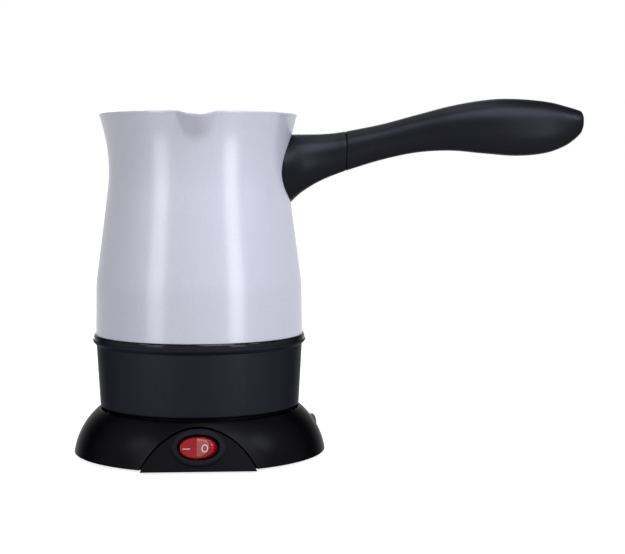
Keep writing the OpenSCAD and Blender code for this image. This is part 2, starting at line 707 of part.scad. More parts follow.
module switch_terminals() color("#c9a24b")
    at_switch() {
        for (x = [-terminal_x, 0, terminal_x]) translate([x, 0, -block_inner - 0.1]) mirror([0, 0, 1])
            tab(switch_tab_w, tab_t, terminal_l + block_wall + 0.1);
        for (x = [-terminal_x, terminal_x]) translate([x, 0, -block_inner]) cylinder(d = 2.6, h = 0.2);
        translate([-1.4, -ear_y - ear_t / 2, -block_inner]) cube([2.8, 2 * ear_y + ear_t, 0.3]);
        difference() {
            for (side = [-1, 1]) translate([-0.9, side * ear_y - ear_t / 2, -block_inner])
                cube([1.8, ear_t, block_inner - blade_depth + 0.9]);
            translate([0, 0, -blade_depth]) rotate([90, 0, 0])
                cylinder(d = blade_rod_d + 2 * running_fit, h = 4 * ear_y, center = true);
        }
    }

module neon_lamp() color("#f0a070")
    at_rocker() translate([-lamp_l / 2, 0, web_top + lamp_d / 2]) rotate([0, 90, 0]) {
        cylinder(d = lamp_d, h = lamp_l - lamp_d / 2);
        translate([0, 0, lamp_l - lamp_d / 2]) sphere(d = lamp_d);
    }

module lamp_resistor() color("#c8b48a")
    at_rocker() translate([-2.5, lamp_d / 2 + resistor_d / 2 + seat_gap, web_top + resistor_d / 2])
        rotate([0, 90, 0]) {
            cylinder(d = resistor_d, h = 5);
            translate([0, 0, -1]) cylinder(d = 0.5, h = 7);
        }

// ---- cord inlet ----
clamp_r = base_r - 11;
clamp_half = 8;
clamp_post_d = 6;
clamp_screw_d = 2.5;
clamp_t = 2.4;
collar_out = 1.3;
terminal_block_r = base_r - 25;
block_size = [12, 21, 8];
pole_pitch = 6.6;
pole_z = cover_top_z + 4.4;

module along_cord(d, from, to) translate([from, 0, inlet_z]) rotate([0, 90, 0]) cylinder(d = d, h = to - from);

module cord_bushing() color("#141416") {
    neck_in = base_r - 6.6;
    rotate(inlet_angle) difference() {
        union() {
            along_cord(bushing_d, neck_in, base_r - 0.8);
            for (c = [[-collar_out, -0.1], [shell_wall + 0.1, shell_wall + collar_out]]) intersection() {
                along_cord(bushing_d + 3, neck_in - 1, base_r + 1);
                difference() {
                    dome_solid(c[0], -1);
                    dome_solid(c[1], -2);
                }
            }
        }
        along_cord(inlet_bore_d, neck_in - 5, base_r + 5);
    }
}

module cord_clamp() color("#26272b") {
    bar_z = inlet_z + 1.2;
    rotate(inlet_angle) difference() {
        translate([clamp_r - 3, -clamp_half - 3, bar_z]) cube([6, 2 * clamp_half + 6, clamp_t]);
        translate([clamp_r - 4, 0, inlet_z]) rotate([0, 90, 0]) cylinder(d = inlet_bore_d - 0.4, h = 8);
        for (side = [-1, 1]) translate([clamp_r, side * clamp_half, 0]) cylinder(d = clamp_screw_d + 0.4, h = far);
    }
}

module clamp_screws() color("#9a9da1")
    rotate(inlet_angle) for (side = [-1, 1]) translate([clamp_r, side * clamp_half, inlet_z + 1.2 + clamp_t])
        mirror([0, 0, 1]) screw(clamp_screw_d, 8, 4.6, 1.4);

module terminal_block() color("#d9d8d2")
    rotate(inlet_angle) translate([terminal_block_r, 0, cover_top_z]) difference() {
        translate([-block_size[0] / 2, -block_size[1] / 2, 0]) cube(block_size);
        for (i = [-1:1]) translate([0, i * pole_pitch, 0]) {
            translate([0, 0, pole_z - cover_top_z]) rotate([0, 90, 0])
                cylinder(d = 3, h = block_size[0] + 2, center = true);
            translate([0, 0, pole_z - cover_top_z]) cylinder(d = 3 + 2 * screw_fit, h = block_size[2]);
        }
    }

module terminal_screws() color("#b9bcc0")
    rotate(inlet_angle) for (i = [-1:1]) translate([terminal_block_r, i * pole_pitch, pole_z + 1.2])
        difference() {
            cylinder(d = 3, h = 2.2);
            translate([-2, -0.25, 1.5]) cube([4, 0.5, 1]);
        }

// ---- base wiring ----
lead_d = 2;
switch_lead_depth = block_floor + 0.2 + switch_sleeve_h + switch_crimp_h + 0.1;
contact_lead_z = plug_flange_z - 0.4 - sleeve_h - crimp_h - lead_d / 2;

// Mouth of pole i of the terminal block, on its inner side.
function pole(i, out = 0) =
    let (x = terminal_block_r - block_size[0] / 2 + 1.5 - out, y = i * pole_pitch)
    [x * cos(inlet_angle) - y * sin(inlet_angle), x * sin(inlet_angle) + y * cos(inlet_angle), pole_z];

function on_bearing(bearing, radius, z) = [radius * cos(bearing), radius * sin(bearing), z];

// A place in the base that keeps its share of the way to the edge.
function in_base(x, y, z) = [x * base_r / 62, y * base_r / 62, z];

// A lead's way out of the switch's crimp at x, as far as out behind it.
function from_switch(x, out) = panel_point(x, switch_rise, switch_lead_depth + out);
function switch_bend(x) = [x, 26 - panel_reach, cover_top_z + 2];

module live_lead() color("#6b3f22")
    lead([pole(-1), pole(-1, 6), in_base(20, -13, 7), in_base(5, -25, 8.8), in_base(-terminal_x, -31, 7.6),
          switch_bend(-terminal_x), from_switch(-terminal_x, 1), from_switch(-terminal_x, 0)], lead_d);

module switched_lead() color("#1f1f21")
    lead([from_switch(0, 0), from_switch(0, 1), switch_bend(0), in_base(0, -27, 5), in_base(-7, -18, 4), [-6, -7, 3.9],
          on_bearing(live_bearing, live_leaf_r + leaf_t / 2, contact_lead_z)], lead_d - 0.2);

module neutral_lead() color("#2456a6") {
    tab_at = on_bearing(neutral_bearing, neutral_leaf_r + leaf_t / 2, contact_lead_z);
    lead([pole(0), pole(0, 5), in_base(16, 8, 4.4), tab_at + [3, 2, -0.2], tab_at], lead_d - 0.2);
    lead([from_switch(terminal_x, 0), from_switch(terminal_x, 1), switch_bend(terminal_x), in_base(10, -28, 8),
          in_base(27, -14, 8.6), pole(0, 7) + [1, -5, 3.4], pole(0, 3) + [0, -1.6, 2.6]], 1.2);
}

module earth_lead() color("#6f9a2b") {
    tab_at = on_bearing(earth_bearing, earth_leaf_r + leaf_t / 2, contact_lead_z);
    lead([pole(1), pole(1, 6), in_base(12, 20, 5.4), in_base(2, 19, 4), tab_at + [0, 2.5, -0.2], tab_at], lead_d - 0.2);
}

module base_spade_sockets() color("#d8b13f") {
    for (c = [[live_bearing, live_leaf_r], [neutral_bearing, neutral_leaf_r], [earth_bearing, earth_leaf_r]])
        rotate(c[0]) translate([c[1] + leaf_t / 2, 0, plug_flange_z - 0.4]) rotate([180, 0, 90])
            spade_socket(tab_w, tab_t, sleeve_h, crimp_d);
    for (x = [-terminal_x, 0, terminal_x]) at_switch() translate([x, 0, -block_floor - 0.2]) mirror([0, 0, 1])
        spade_socket(switch_tab_w, tab_t, switch_sleeve_h, 2.4, switch_crimp_h);
}

// ---- jug ----
shoulder_r = belly_r - 0.4;
neck_z = (shoulder_r - rim_r + shoulder_z * tan(taper_angle) + rim_z * tan(flare_angle))
    / (tan(flare_angle) + tan(taper_angle));
neck_r = rim_r - (rim_z - neck_z) * tan(flare_angle);
shoulder_blend_r = 60;

// Half outline of the pot, moved in by inset, from the rim down to the axis.
function pot_outline(inset) =
    let (a = [rim_r - inset, rim_z], b = [neck_r - inset, neck_z], c = [shoulder_r - inset, shoulder_z],
         d = [belly_r - inset, pot_under_z + inset], e = [0, pot_under_z + inset])
    concat([a], rounded_corner(a, b, c, neck_blend_r, 14), rounded_corner(b, c, d, shoulder_blend_r, 5),
           rounded_corner(c, d, e, pot_corner_r - inset, 6), [e]);

module pot_solid(inset, above = 0)
    rotate_extrude() polygon(concat([[0, rim_z + above], [rim_r - inset + above * tan(flare_angle), rim_z + above]],
                                    pot_outline(inset)));

// The slanting round that presses the beak out of the wall.
module beak_solid(inset, above) {
    crease_r = rim_r - beak_drop * tan(flare_angle);
    lean = atan((rim_r + beak_reach - crease_r) / beak_drop);
    intersection() {
        translate([0, -rim_r - beak_reach, rim_z]) rotate([lean, 0, 0]) translate([0, beak_r, -2.6 * beak_drop])
            cylinder(r = beak_r - inset, h = 4 * beak_drop);
        translate([-far / 2, -far, rim_z - 2 * beak_drop]) cube([far, far, 2 * beak_drop + above]);
    }
}

module jug_pot() color("#c3c1cd") {
    dip_half = 9.3;
    dip_r = (dip_half * dip_half + beak_dip * beak_dip) / (2 * beak_dip);
    difference() {
        union() {
            pot_solid(0);
            beak_solid(0, 0);
        }
        pot_solid(steel_t, 1);
        beak_solid(steel_t, 1);
        translate([0, -rim_r / 2, rim_z - beak_dip + dip_r]) rotate([90, 0, 0]) cylinder(r = dip_r, h = far);
    }
}

// Gloss ring that the pot's lower corner nests in.
module trim_ring() color("#0b0b0e") {
    nest = pot_corner_r + 0.15;
    corner = [belly_r - pot_corner_r, pot_under_z + pot_corner_r];
    foot_r = lip_r - 1.6;
    rotate_extrude() polygon(concat(
        [[trim_r, lip_z], [trim_r, trim_z - 1.5], [trim_r - 0.25, trim_z - 0.7], [belly_r + 0.35, trim_z - 0.05],
         [belly_r + 0.15, trim_z]],
        [for (i = [0:6]) corner + nest * [cos(-15 * i), sin(-15 * i)]],
        [[corner[0] - 0.5, corner[1] - nest], [corner[0] - 0.5, ledge_z], [foot_r, ledge_z], [foot_r, lip_z]]));
}

module pot_seal() color("#b24a3c")
    translate([0, 0, ledge_z]) tube(belly_r - pot_corner_r - 0.7, belly_r - pot_corner_r - 2.7, pot_under_z - ledge_z);

// ---- heated foot ----
coupler_hole_r = plug_d / 2 + 0.5 + socket_wall + seat_gap;
socket_flange_r = 27.8;
socket_flange_t = 2;
socket_boss_h = 3;
socket_screw_d = 2.5;
socket_screw_r = 24;
socket_bearings = [0, 120, 240];
post_bearings = [30, 150, 270];
post_boss_r = 5;
post_boss_h = 6;
housing_screw_d = 3.2;
housing_screw_head_d = 7.4;
housing_screw_head_h = 2.4;
post_low_z = housing_floor_z + post_boss_h;

module lower_housing() color("#1f2025") {
    corner_r = 1.8;
    a = [foot_ring_r, housing_z];
    b = [housing_foot_r, housing_z];
    c = [housing_top_r, lip_z - 2.8];
    inner_top_r = housing_top_r - housing_wall;
    inner_foot_r = housing_foot_r - housing_wall;
    ledge_r = belly_r - pot_corner_r - 2.8;
    difference() {
        union() {
            rotate_extrude() polygon(concat(
                [[coupler_hole_r, housing_z]], rounded_corner(a, b, c, corner_r, 6),
                [c, [lip_r - 0.15, lip_z - 1.1], [lip_r, lip_z - 0.8], [lip_r, lip_z - 0.1], [lip_r - 0.1, lip_z],
                 [lip_r - 1.5, lip_z], [lip_r - 1.5, ledge_z], [ledge_r, ledge_z], [ledge_r, ledge_z - 1.6],
                 [inner_top_r, ledge_z - 4.4], [inner_foot_r, housing_floor_z], [coupler_hole_r, housing_floor_z]]));
            translate([0, 0, recess_z]) tube(foot_ring_r, foot_ring_r - foot_ring_t, housing_z - recess_z + eps);
            for (a = post_bearings) rotate(a) translate([post_r, 0, housing_floor_z - 1])
                cylinder(r = post_boss_r, h = post_boss_h + 1);
        }
        for (a = post_bearings) rotate(a) translate([post_r, 0, 0]) {
            cylinder(d = housing_screw_d + 1, h = far);
            cylinder(d = housing_screw_head_d + 0.6, h = post_low_z - 3);
        }
        for (a = socket_bearings) rotate(a) translate([socket_screw_r, 0, 0]) {
            cylinder(d = socket_screw_d + 0.3, h = far);
            cylinder(d = 5, h = housing_z + 1.2);
        }
    }
}

module housing_screws() color("#9a9da1")
    for (a = post_bearings) rotate(a) translate([post_r, 0, post_low_z - 3])
        screw(housing_screw_d, 12, housing_screw_head_d, housing_screw_head_h);

module threaded_posts() color("#a6a9ad")
    for (a = post_bearings) rotate(a) translate([post_r, 0, post_low_z]) difference() {
        cylinder(d = post_d, h = plate_under_z - post_low_z);
        translate([0, 0, -1]) cylinder(d = housing_screw_d + 2 * screw_fit, h = 15);
    }

// ---- heater ----
element_z = plate_under_z - element_d / 2 + 0.4;
element_leg_z = plate_under_z - 9;
element_bearings = [90 - element_gap_angle / 2, 90 + element_gap_angle / 2];
thermostat_at = [0, -10, 0];
thermostat_r = 7.8;
thermostat_cap_h = 3;
thermostat_body_h = 6.8;
thermostat_ear = 11.9;
thermostat_low_z = plate_under_z - thermostat_cap_h - thermostat_body_h;
thermostat_tab_x = 5;
small_screw_d = 2.5;
fuse_d = 4.4;
fuse_l = 14;
fuse_y = 8.5;
fuse_z = plate_under_z - fuse_d / 2 - seat_gap;
fuse_screw_y = fuse_y + 6.4;

module heat_plate() color("#b7babd")
    translate([0, 0, plate_under_z]) difference() {
        cylinder(r = plate_r, h = plate_t);
        for (side = [-1, 1]) translate(thermostat_at + [side * thermostat_ear, 0, -1])
            cylinder(d = small_screw_d + 2 * screw_fit, h = plate_t + 0.6);
        translate([0, fuse_screw_y, -1]) cylinder(d = small_screw_d + 2 * screw_fit, h = plate_t + 0.6);
    }

module heating_element() color("#8d8f92")
    difference() {
        union() {
            translate([0, 0, element_z]) rotate(90 + element_gap_angle / 2)
                rotate_extrude(angle = 360 - element_gap_angle) translate([element_r, 0]) circle(d = element_d);
            for (a = element_bearings) rotate(a) translate([element_r, 0, element_leg_z])
                cylinder(d = element_d - 0.5, h = plate_under_z - element_leg_z + 1);
        }
        translate([-far / 2, -far / 2, plate_under_z]) cube([far, far, far]);
    }

module element_terminals() color("#c9a24b")
    for (a = element_bearings) rotate(a) translate([element_r, 0, element_leg_z]) rotate([180, 0, 90]) {
        cylinder(d = 3, h = 1.6);
        translate([0, 0, 1.5]) tab(tab_w, tab_t, tab_h + 0.4);
    }

module thermostat_cap() color("#c0c3c6")
    translate(thermostat_at) difference() {
        union() {
            translate([0, 0, plate_under_z - thermostat_cap_h]) cylinder(r = thermostat_r + 0.5, h = thermostat_cap_h);
            translate([-thermostat_ear, -3.2, plate_under_z - 0.8]) cube([2 * thermostat_ear, 6.4, 0.8]);
            for (side = [-1, 1]) translate([side * thermostat_ear, 0, plate_under_z - 0.8]) cylinder(r = 3.2, h = 0.8);
        }
        for (side = [-1, 1]) translate([side * thermostat_ear, 0, 0]) cylinder(d = small_screw_d + 0.4, h = far);
    }

module thermostat_body() color("#6d3b22")
    translate(thermostat_at + [0, 0, thermostat_low_z]) cylinder(r = thermostat_r, h = thermostat_body_h);

module thermostat_terminals() color("#c9a24b")
    for (side = [-1, 1]) translate(thermostat_at + [side * thermostat_tab_x, 0, thermostat_low_z])
        rotate([180, 0, 90]) tab(tab_w, tab_t, tab_h - 1);

module thermostat_screws() color("#9a9da1")
    for (side = [-1, 1]) translate(thermostat_at + [side * thermostat_ear, 0, plate_under_z - 0.8])
        screw(small_screw_d, 2.8, 4.6, 1.4);

module thermal_fuse() color("#d8d2c0")
    translate([-fuse_l / 2, fuse_y, fuse_z]) rotate([0, 90, 0]) {
        cylinder(d = fuse_d, h = fuse_l);
        translate([0, 0, -4]) cylinder(d = 1, h = fuse_l + 8);
    }

module fuse_clip() color("#b9bcc0") {
    inner_r = fuse_d / 2 + 0.1;
    outer_r = inner_r + 0.6;
    w = 6;
    difference() {
        translate([-w / 2, 0, 0]) rotate([90, 0, 90]) linear_extrude(w) {
            difference() {
                union() {
                    translate([fuse_y, fuse_z]) circle(r = outer_r);
                    translate([fuse_y - outer_r, fuse_z]) square([2 * outer_r, plate_under_z - fuse_z]);
                    translate([fuse_y, plate_under_z - 0.6]) square([fuse_screw_y - fuse_y + 3, 0.6]);
                }
                translate([fuse_y, fuse_z]) circle(r = inner_r);
                translate([fuse_y - inner_r, fuse_z]) square([2 * inner_r, far]);
            }
        }
        translate([0, fuse_screw_y, 0]) cylinder(d = small_screw_d + 0.4, h = far);
    }
}

module fuse_clip_screw() color("#9a9da1")
    translate([0, fuse_screw_y, plate_under_z - 0.6]) screw(small_screw_d, 2.6, 4.6, 1.4);

// ---- cordless coupler, jug half ----
socket_bore_r = plug_d / 2 + 0.5;
socket_r = socket_bore_r + socket_wall;
ring_top_z = socket_roof_z + 1;
neutral_tab_bearing = 150;
earth_tab_bearing = 30;

module round_groove(radius, z, h)
    translate([0, 0, z]) difference() {
        cylinder(r = radius + ring_t / 2 + running_fit, h = h);
        translate([0, 0, -1]) cylinder(r = radius - ring_t / 2 - running_fit, h = h + 2);
    }

module contact_ring(radius)
    translate([0, 0, ring_low_z]) tube(radius + ring_t / 2, radius - ring_t / 2, ring_top_z - ring_low_z);

module neutral_ring() color("#c9a24b") contact_ring(neutral_r);
module earth_ring() color("#c9a24b") contact_ring(earth_r);

module coupler_socket() color("#d9d5c8")
    difference() {
        union() {
            translate([0, 0, housing_z]) cylinder(r = socket_r, h = socket_top_z - housing_z);
            translate([0, 0, housing_floor_z]) cylinder(r = socket_flange_r, h = socket_flange_t);
            for (a = socket_bearings) rotate(a) translate([socket_screw_r, 0, housing_floor_z + 1])
                cylinder(r = 3, h = socket_flange_t + socket_boss_h - 1);
        }
        translate([0, 0, housing_z - 1]) cylinder(r = socket_bore_r, h = socket_roof_z - housing_z + 1);
        round_groove(neutral_r, socket_roof_z - eps, ring_top_z - socket_roof_z + eps);
        round_groove(earth_r, socket_roof_z - eps, ring_top_z - socket_roof_z + eps);
        cylinder(d = live_pin_d + 2 * screw_fit, h = far);
        rotate(neutral_tab_bearing) translate([neutral_r, 0, 0]) cylinder(d = 1.8, h = far);
        rotate(earth_tab_bearing) translate([earth_r, 0, 0]) cylinder(d = 1.8, h = far);
        for (a = socket_bearings) rotate(a) translate([socket_screw_r, 0, 0])
            cylinder(d = socket_screw_d + 2 * screw_fit, h = housing_floor_z + socket_flange_t + socket_boss_h - 0.8);
    }

module socket_screws() color("#9a9da1")
    for (a = socket_bearings) rotate(a) translate([socket_screw_r, 0, housing_z + 1.2])
        screw(socket_screw_d, 4.8, 4.6, 1.1);

module live_pin() color("#c9a24b") {
    nose = 1.2;
    translate([0, 0, ring_low_z]) cylinder(d1 = live_pin_d - 1.6, d2 = live_pin_d, h = nose);
    translate([0, 0, ring_low_z + nose]) cylinder(d = live_pin_d, h = socket_top_z + 1 - ring_low_z - nose);
    translate([0, 0, socket_top_z]) cylinder(d = live_pin_d + 2, h = 0.8);
    translate([0, 0, socket_top_z + 0.7]) tab(tab_w, tab_t, tab_h);
}

module socket_tabs() color("#c9a24b")
    for (c = [[neutral_tab_bearing, neutral_r], [earth_tab_bearing, earth_r]]) rotate(c[0]) translate([c[1], 0, 0]) {
        translate([0, 0, ring_top_z]) cylinder(d = 1.6, h = socket_top_z - ring_top_z + 0.2);
        translate([-1.3, -tab_w / 2, socket_top_z]) cube([2.6, tab_w, 0.8]);
        translate([0, 0, socket_top_z + 0.7]) rotate(90) tab(tab_w, tab_t, tab_h);
    }

// ---- jug wiring ----
jug_lead_d = 1.8;
thermostat_sleeve_h = 5.6;
roof_sleeve_z = socket_top_z + 1;
thermostat_crimp_h = 2;
element_sleeve_z = element_leg_z - 2.15;
roof_crimp_z = roof_sleeve_z + sleeve_h + crimp_h + 0.35;
thermostat_lead_z = thermostat_low_z - 0.3 - thermostat_sleeve_h - thermostat_crimp_h - 0.1 - jug_lead_d / 2;
element_lead_z = element_sleeve_z - sleeve_h - crimp_h - 0.1 - jug_lead_d / 2;

module jug_live_lead() color("#e8e4da")
    lead([[0, 0, roof_crimp_z], [0.8, 0, roof_crimp_z + 3], [5, -1, roof_crimp_z + 4.4], [9.4, -3, 43],
          [11, -6.6, 37.6], [9.4, -9.4, thermostat_lead_z], thermostat_at + [thermostat_tab_x, 0, thermostat_lead_z]],
         jug_lead_d, side = [0.1, 1, 0.4]);

module jug_fuse_lead() color("#e8e4da") {
    lead([thermostat_at + [-thermostat_tab_x, 0, thermostat_lead_z], [-9.4, -9.6, thermostat_lead_z], [-15, -6, 38],
          [-18, 1, 45], [-16.5, 6.5, fuse_z - 0.6], [-fuse_l / 2 - 4.1, fuse_y, fuse_z]], jug_lead_d);
    lead([[fuse_l / 2 + 4.1, fuse_y, fuse_z], [15.5, 10, fuse_z - 1], [18, 14, 45], [17, 19.5, 38],
          on_bearing(element_bearings[0], element_r - 3.4, element_lead_z - 0.2),
          on_bearing(element_bearings[0], element_r, element_lead_z)], jug_lead_d);
}

module jug_neutral_lead() color("#e8e4da")
    lead([on_bearing(neutral_tab_bearing, neutral_r, roof_crimp_z), [-7.6, 5, roof_crimp_z + 2.6],
          [-10.6, 9, roof_crimp_z + 3], [-14, 15, 40],
          on_bearing(element_bearings[1], element_r - 3.4, element_lead_z - 0.2),
          on_bearing(element_bearings[1], element_r, element_lead_z)], jug_lead_d);

module jug_earth_lead() color("#6f9a2b") {
    eyelet_z = 42.4;
    lead([on_bearing(earth_tab_bearing, earth_r, roof_crimp_z), on_bearing(earth_tab_bearing, earth_r + 1, 45.2),
          on_bearing(earth_tab_bearing, earth_r + 5, 46.6), on_bearing(post_bearings[0], 25, 44.6),
          on_bearing(post_bearings[0], post_r - post_d / 2 - 0.9, eyelet_z + 0.5)],
         jug_lead_d, side = on_bearing(post_bearings[0] + 90, 1, 0));
    rotate(post_bearings[0]) translate([post_r, 0, eyelet_z]) tube(post_d / 2 + 1.4, post_d / 2 + running_fit, 1);
}

module jug_spade_sockets() color("#d8b13f") {
    translate([0, 0, roof_sleeve_z]) spade_socket(tab_w, tab_t, sleeve_h, crimp_d);
    for (c = [[neutral_tab_bearing, neutral_r], [earth_tab_bearing, earth_r]])
        rotate(c[0]) translate([c[1], 0, roof_sleeve_z + 0.2]) rotate(90) spade_socket(tab_w, tab_t, sleeve_h - 0.2, crimp_d);
    for (side = [-1, 1]) translate(thermostat_at + [side * thermostat_tab_x, 0, thermostat_low_z - 0.3])
        rotate([180, 0, 90]) spade_socket(tab_w, tab_t, thermostat_sleeve_h, crimp_d, thermostat_crimp_h);
    for (a = element_bearings) rotate(a) translate([element_r, 0, element_sleeve_z]) rotate([180, 0, 90])
        spade_socket(tab_w, tab_t, sleeve_h, crimp_d);
}

// ---- handle ----
seam_z = rim_z - 18 + handle_lift;
seam_gap = 0.3;
neck_start_x = 37;
ring_sides = 28;
neck_power = 2.1;
grip_power = 2.3;

// Height of the neck's upper and lower outline and its half width, by distance from the axis.
function neck_x(share) = neck_start_x + share * (seam_x - neck_start_x);
neck_top = [for (p = [[0, 8.2], [0.3, 8.2], [0.6, 8.3], [0.82, 8.8], [1, 9.7]]) [neck_x(p[0]), p[1]]];
neck_low = [for (p = [[0, -35], [0.18, -27.3], [0.31, -22.6], [0.4, -20], [0.56, -16.4], [0.73, -13.4],
                      [0.89, -11.2], [1, -9.8]]) [neck_x(p[0]), p[1]]];
neck_half = [for (p = [[0, 21.5], [0.1, 17.6], [0.2, 15], [0.31, 12.7], [0.43, 11], [0.6, 9.6], [0.8, 8.8],
                       [1, 8.5]]) [neck_x(p[0]), p[1]]];

// The same for the grip, by its share of the way from the seam to the end.
function grip_x(share) = seam_x + share * (grip_end_x - seam_x);
grip_top = [for (p = [[0, 9.7], [0.15, 13.3], [0.3, 18.1], [0.455, 22.8], [0.6, 25.6], [0.72, 25.9], [0.855, 24.4],
                      [0.955, 21.4], [1, 19.7]]) [grip_x(p[0]), p[1]]];
grip_low = [for (p = [[0, -9.8], [0.15, -4.4], [0.3, -0.7], [0.445, 0.2], [0.585, -1.2], [0.72, -2.3], [0.84, -1],
                      [0.922, 2.4], [0.972, 6.6], [1, 10.2]]) [grip_x(p[0]), p[1]]];
grip_half = [for (p = [[0, 8.5], [0.15, 8.1], [0.3, 8.4], [0.455, 9.7], [0.6, 10.9], [0.72, 11.3], [0.855, 10.4],
                       [0.955, 8], [1, 5.8]]) [grip_x(p[0]), p[1]]];

// One ring of the handle, upright at x.
function handle_ring(x, top, low, half, power, shrink = 1) =
    let (t = curve_at(top, x), b = curve_at(low, x), h = curve_at(half, x) * shrink)
    [for (q = super_ellipse((t - b) / 2 * shrink, h, power, ring_sides)) [x, q[1], seam_z + (t + b) / 2 + q[0]]];

module at_tongue(x) translate([x, 0, seam_z + (x - seam_x) * tan(tongue_slope)]) rotate([0, -tongue_slope, 0]) children();

module tongue(gap, from_x, run)
    at_tongue(from_x) translate([0, -tongue_w / 2 - gap, -tongue_t / 2 - gap])
        cube([run / cos(tongue_slope) + gap, tongue_w + 2 * gap, tongue_t + 2 * gap]);

handle_screw_x = seam_x + 17;
handle_screw_d = 3;
handle_screw_head_d = 5.4;
weld_gap = 0.05;

module handle_bracket() color("#a9acb0")
    difference() {
        union() {
            intersection() {
                pot_solid(-saddle_t);
                translate([20, -9, seam_z - 17]) cube([40, 18, 20]);
            }
            tongue(0, 40, seam_x + tongue_run - 40);
        }
        pot_solid(-weld_gap);
        at_tongue(handle_screw_x) cylinder(d = handle_screw_d + 2 * screw_fit, h = 20, center = true);
    }

module handle_neck() color("#1d1e22") {
    shares = [0, 0.06, 0.12, 0.18, 0.25, 0.32, 0.4, 0.48, 0.56, 0.65, 0.74, 0.83, 0.92];
    end_x = seam_x - seam_gap / 2;
    difference() {
        loft([for (x = concat([for (s = shares) neck_x(s)], [end_x]))
            handle_ring(x, neck_top, neck_low, neck_half, neck_power)]);
        pot_solid(-seat_gap);
        intersection() {
            pot_solid(-saddle_t - seat_gap);
            translate([20, -9 - seat_gap, seam_z - 17 - seat_gap]) cube([40, 18 + 2 * seat_gap, 20 + 2 * seat_gap]);
        }
        tongue(seat_gap, 38, seam_x - 30);
    }
}

module handle_grip() color("#1b1c20") {
    shares = [0.05, 0.1, 0.15, 0.2, 0.26, 0.32, 0.38, 0.44, 0.5, 0.56, 0.62, 0.68, 0.74, 0.8, 0.85, 0.9, 0.94, 0.97];
    start_x = seam_x + seam_gap / 2;
    end_x = grip_end_x - 0.6;
    difference() {
        loft(concat([for (x = concat([start_x], [for (s = shares) grip_x(s)], [end_x]))
                        handle_ring(x, grip_top, grip_low, grip_half, grip_power)],
                    [handle_ring(grip_end_x, grip_top, grip_low, grip_half, grip_power, 0.72)]));
        tongue(seat_gap, seam_x - 5, tongue_run + 5.4);
        at_tongue(handle_screw_x) translate([0, 0, -tongue_t / 2 - 2.6]) {
            cylinder(d = handle_screw_d + 0.4, h = 10);
            translate([0, 0, -20]) cylinder(d = handle_screw_head_d + 0.6, h = 20);
        }
    }
}

module handle_screw() color("#9a9da1")
    at_tongue(handle_screw_x) translate([0, 0, -tongue_t / 2 - 2.6]) screw(handle_screw_d, 7.4, handle_screw_head_d, 1.8);

// ---- the parts ----
base_shell();
switch_panel();
base_cover();
rubber_feet();
cover_screws();
coupler_plug();
plug_screws();
live_contact();
neutral_contact();
earth_contact();
switch_frame();
rocker();
rocker_plunger();
rocker_spring();
contact_blade();
switch_terminals();
neon_lamp();
lamp_resistor();
cord_bushing();
cord_clamp();
clamp_screws();
terminal_block();
terminal_screws();
live_lead();
switched_lead();
neutral_lead();
earth_lead();
base_spade_sockets();
neutral_ring();
jug_pot();
trim_ring();
pot_seal();
lower_housing();
housing_screws();
threaded_posts();
heat_plate();
heating_element();
element_terminals();
thermostat_cap();
thermostat_body();
thermostat_screws();
thermostat_terminals();
thermal_fuse();
fuse_clip();
fuse_clip_screw();
coupler_socket();
socket_screws();
live_pin();
earth_ring();
socket_tabs();
jug_live_lead();
jug_fuse_lead();
jug_neutral_lead();
jug_earth_lead();
jug_spade_sockets();
handle_bracket();
handle_neck();
handle_grip();
handle_screw();
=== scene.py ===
import json
import math

import bmesh
import bpy
from mathutils import Matrix, Vector

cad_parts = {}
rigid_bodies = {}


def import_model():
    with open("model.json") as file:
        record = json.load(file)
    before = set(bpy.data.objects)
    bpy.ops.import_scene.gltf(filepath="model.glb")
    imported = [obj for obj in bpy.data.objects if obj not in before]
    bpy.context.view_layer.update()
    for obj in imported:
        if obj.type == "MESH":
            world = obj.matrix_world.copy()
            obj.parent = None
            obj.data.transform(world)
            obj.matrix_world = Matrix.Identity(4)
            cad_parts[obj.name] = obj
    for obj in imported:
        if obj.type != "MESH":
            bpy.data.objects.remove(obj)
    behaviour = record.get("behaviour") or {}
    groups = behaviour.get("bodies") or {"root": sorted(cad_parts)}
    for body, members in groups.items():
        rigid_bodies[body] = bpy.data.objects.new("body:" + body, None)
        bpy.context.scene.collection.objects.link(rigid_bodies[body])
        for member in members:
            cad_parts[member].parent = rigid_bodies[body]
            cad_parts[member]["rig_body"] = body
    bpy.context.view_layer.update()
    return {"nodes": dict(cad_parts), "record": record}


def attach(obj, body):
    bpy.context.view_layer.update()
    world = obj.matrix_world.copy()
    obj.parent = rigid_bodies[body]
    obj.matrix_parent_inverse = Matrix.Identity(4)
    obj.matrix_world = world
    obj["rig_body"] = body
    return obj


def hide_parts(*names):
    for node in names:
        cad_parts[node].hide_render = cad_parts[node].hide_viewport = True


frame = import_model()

NODES = frame["nodes"]
MM = 0.001

# ---- sizes in millimetres, as in the CAD source ----
RIM_Z = 166.4
RIM_R = 48.4
BELLY_R = 51.0
SHOULDER_R, SHOULDER_Z, SHOULDER_BLEND = 50.6, 83.0, 60.0
TAPER, FLARE, NECK_BLEND = math.radians(7.55), math.radians(14.8), 80.0
STEEL_T = 0.9
POT_UNDER_Z, POT_CORNER = 55.7, 2.5
BEAK_R, BEAK_REACH, BEAK_DROP, BEAK_DIP, BEAK_DIP_HALF = 12.0, 4.6, 13.2, 1.7, 9.3
LIP_Z, LIP_R, TRIM_Z, TRIM_R, LEDGE_Z = 56.2, 52.4, 58.7, 52.1, 54.4
SEAM_X, GRIP_END_X, SEAM_Z, SEAM_GAP = 72.4, 191.3, RIM_Z - 18, 0.3
PANEL_REACH, PANEL_LEAN, SHELL_Z, SWITCH_RISE = 61.0, math.radians(22), 1.0, 11.1
PIVOT_DEPTH, ROCKER_TILT, ROCKER_RISE = 4.0, math.radians(10), 6.2


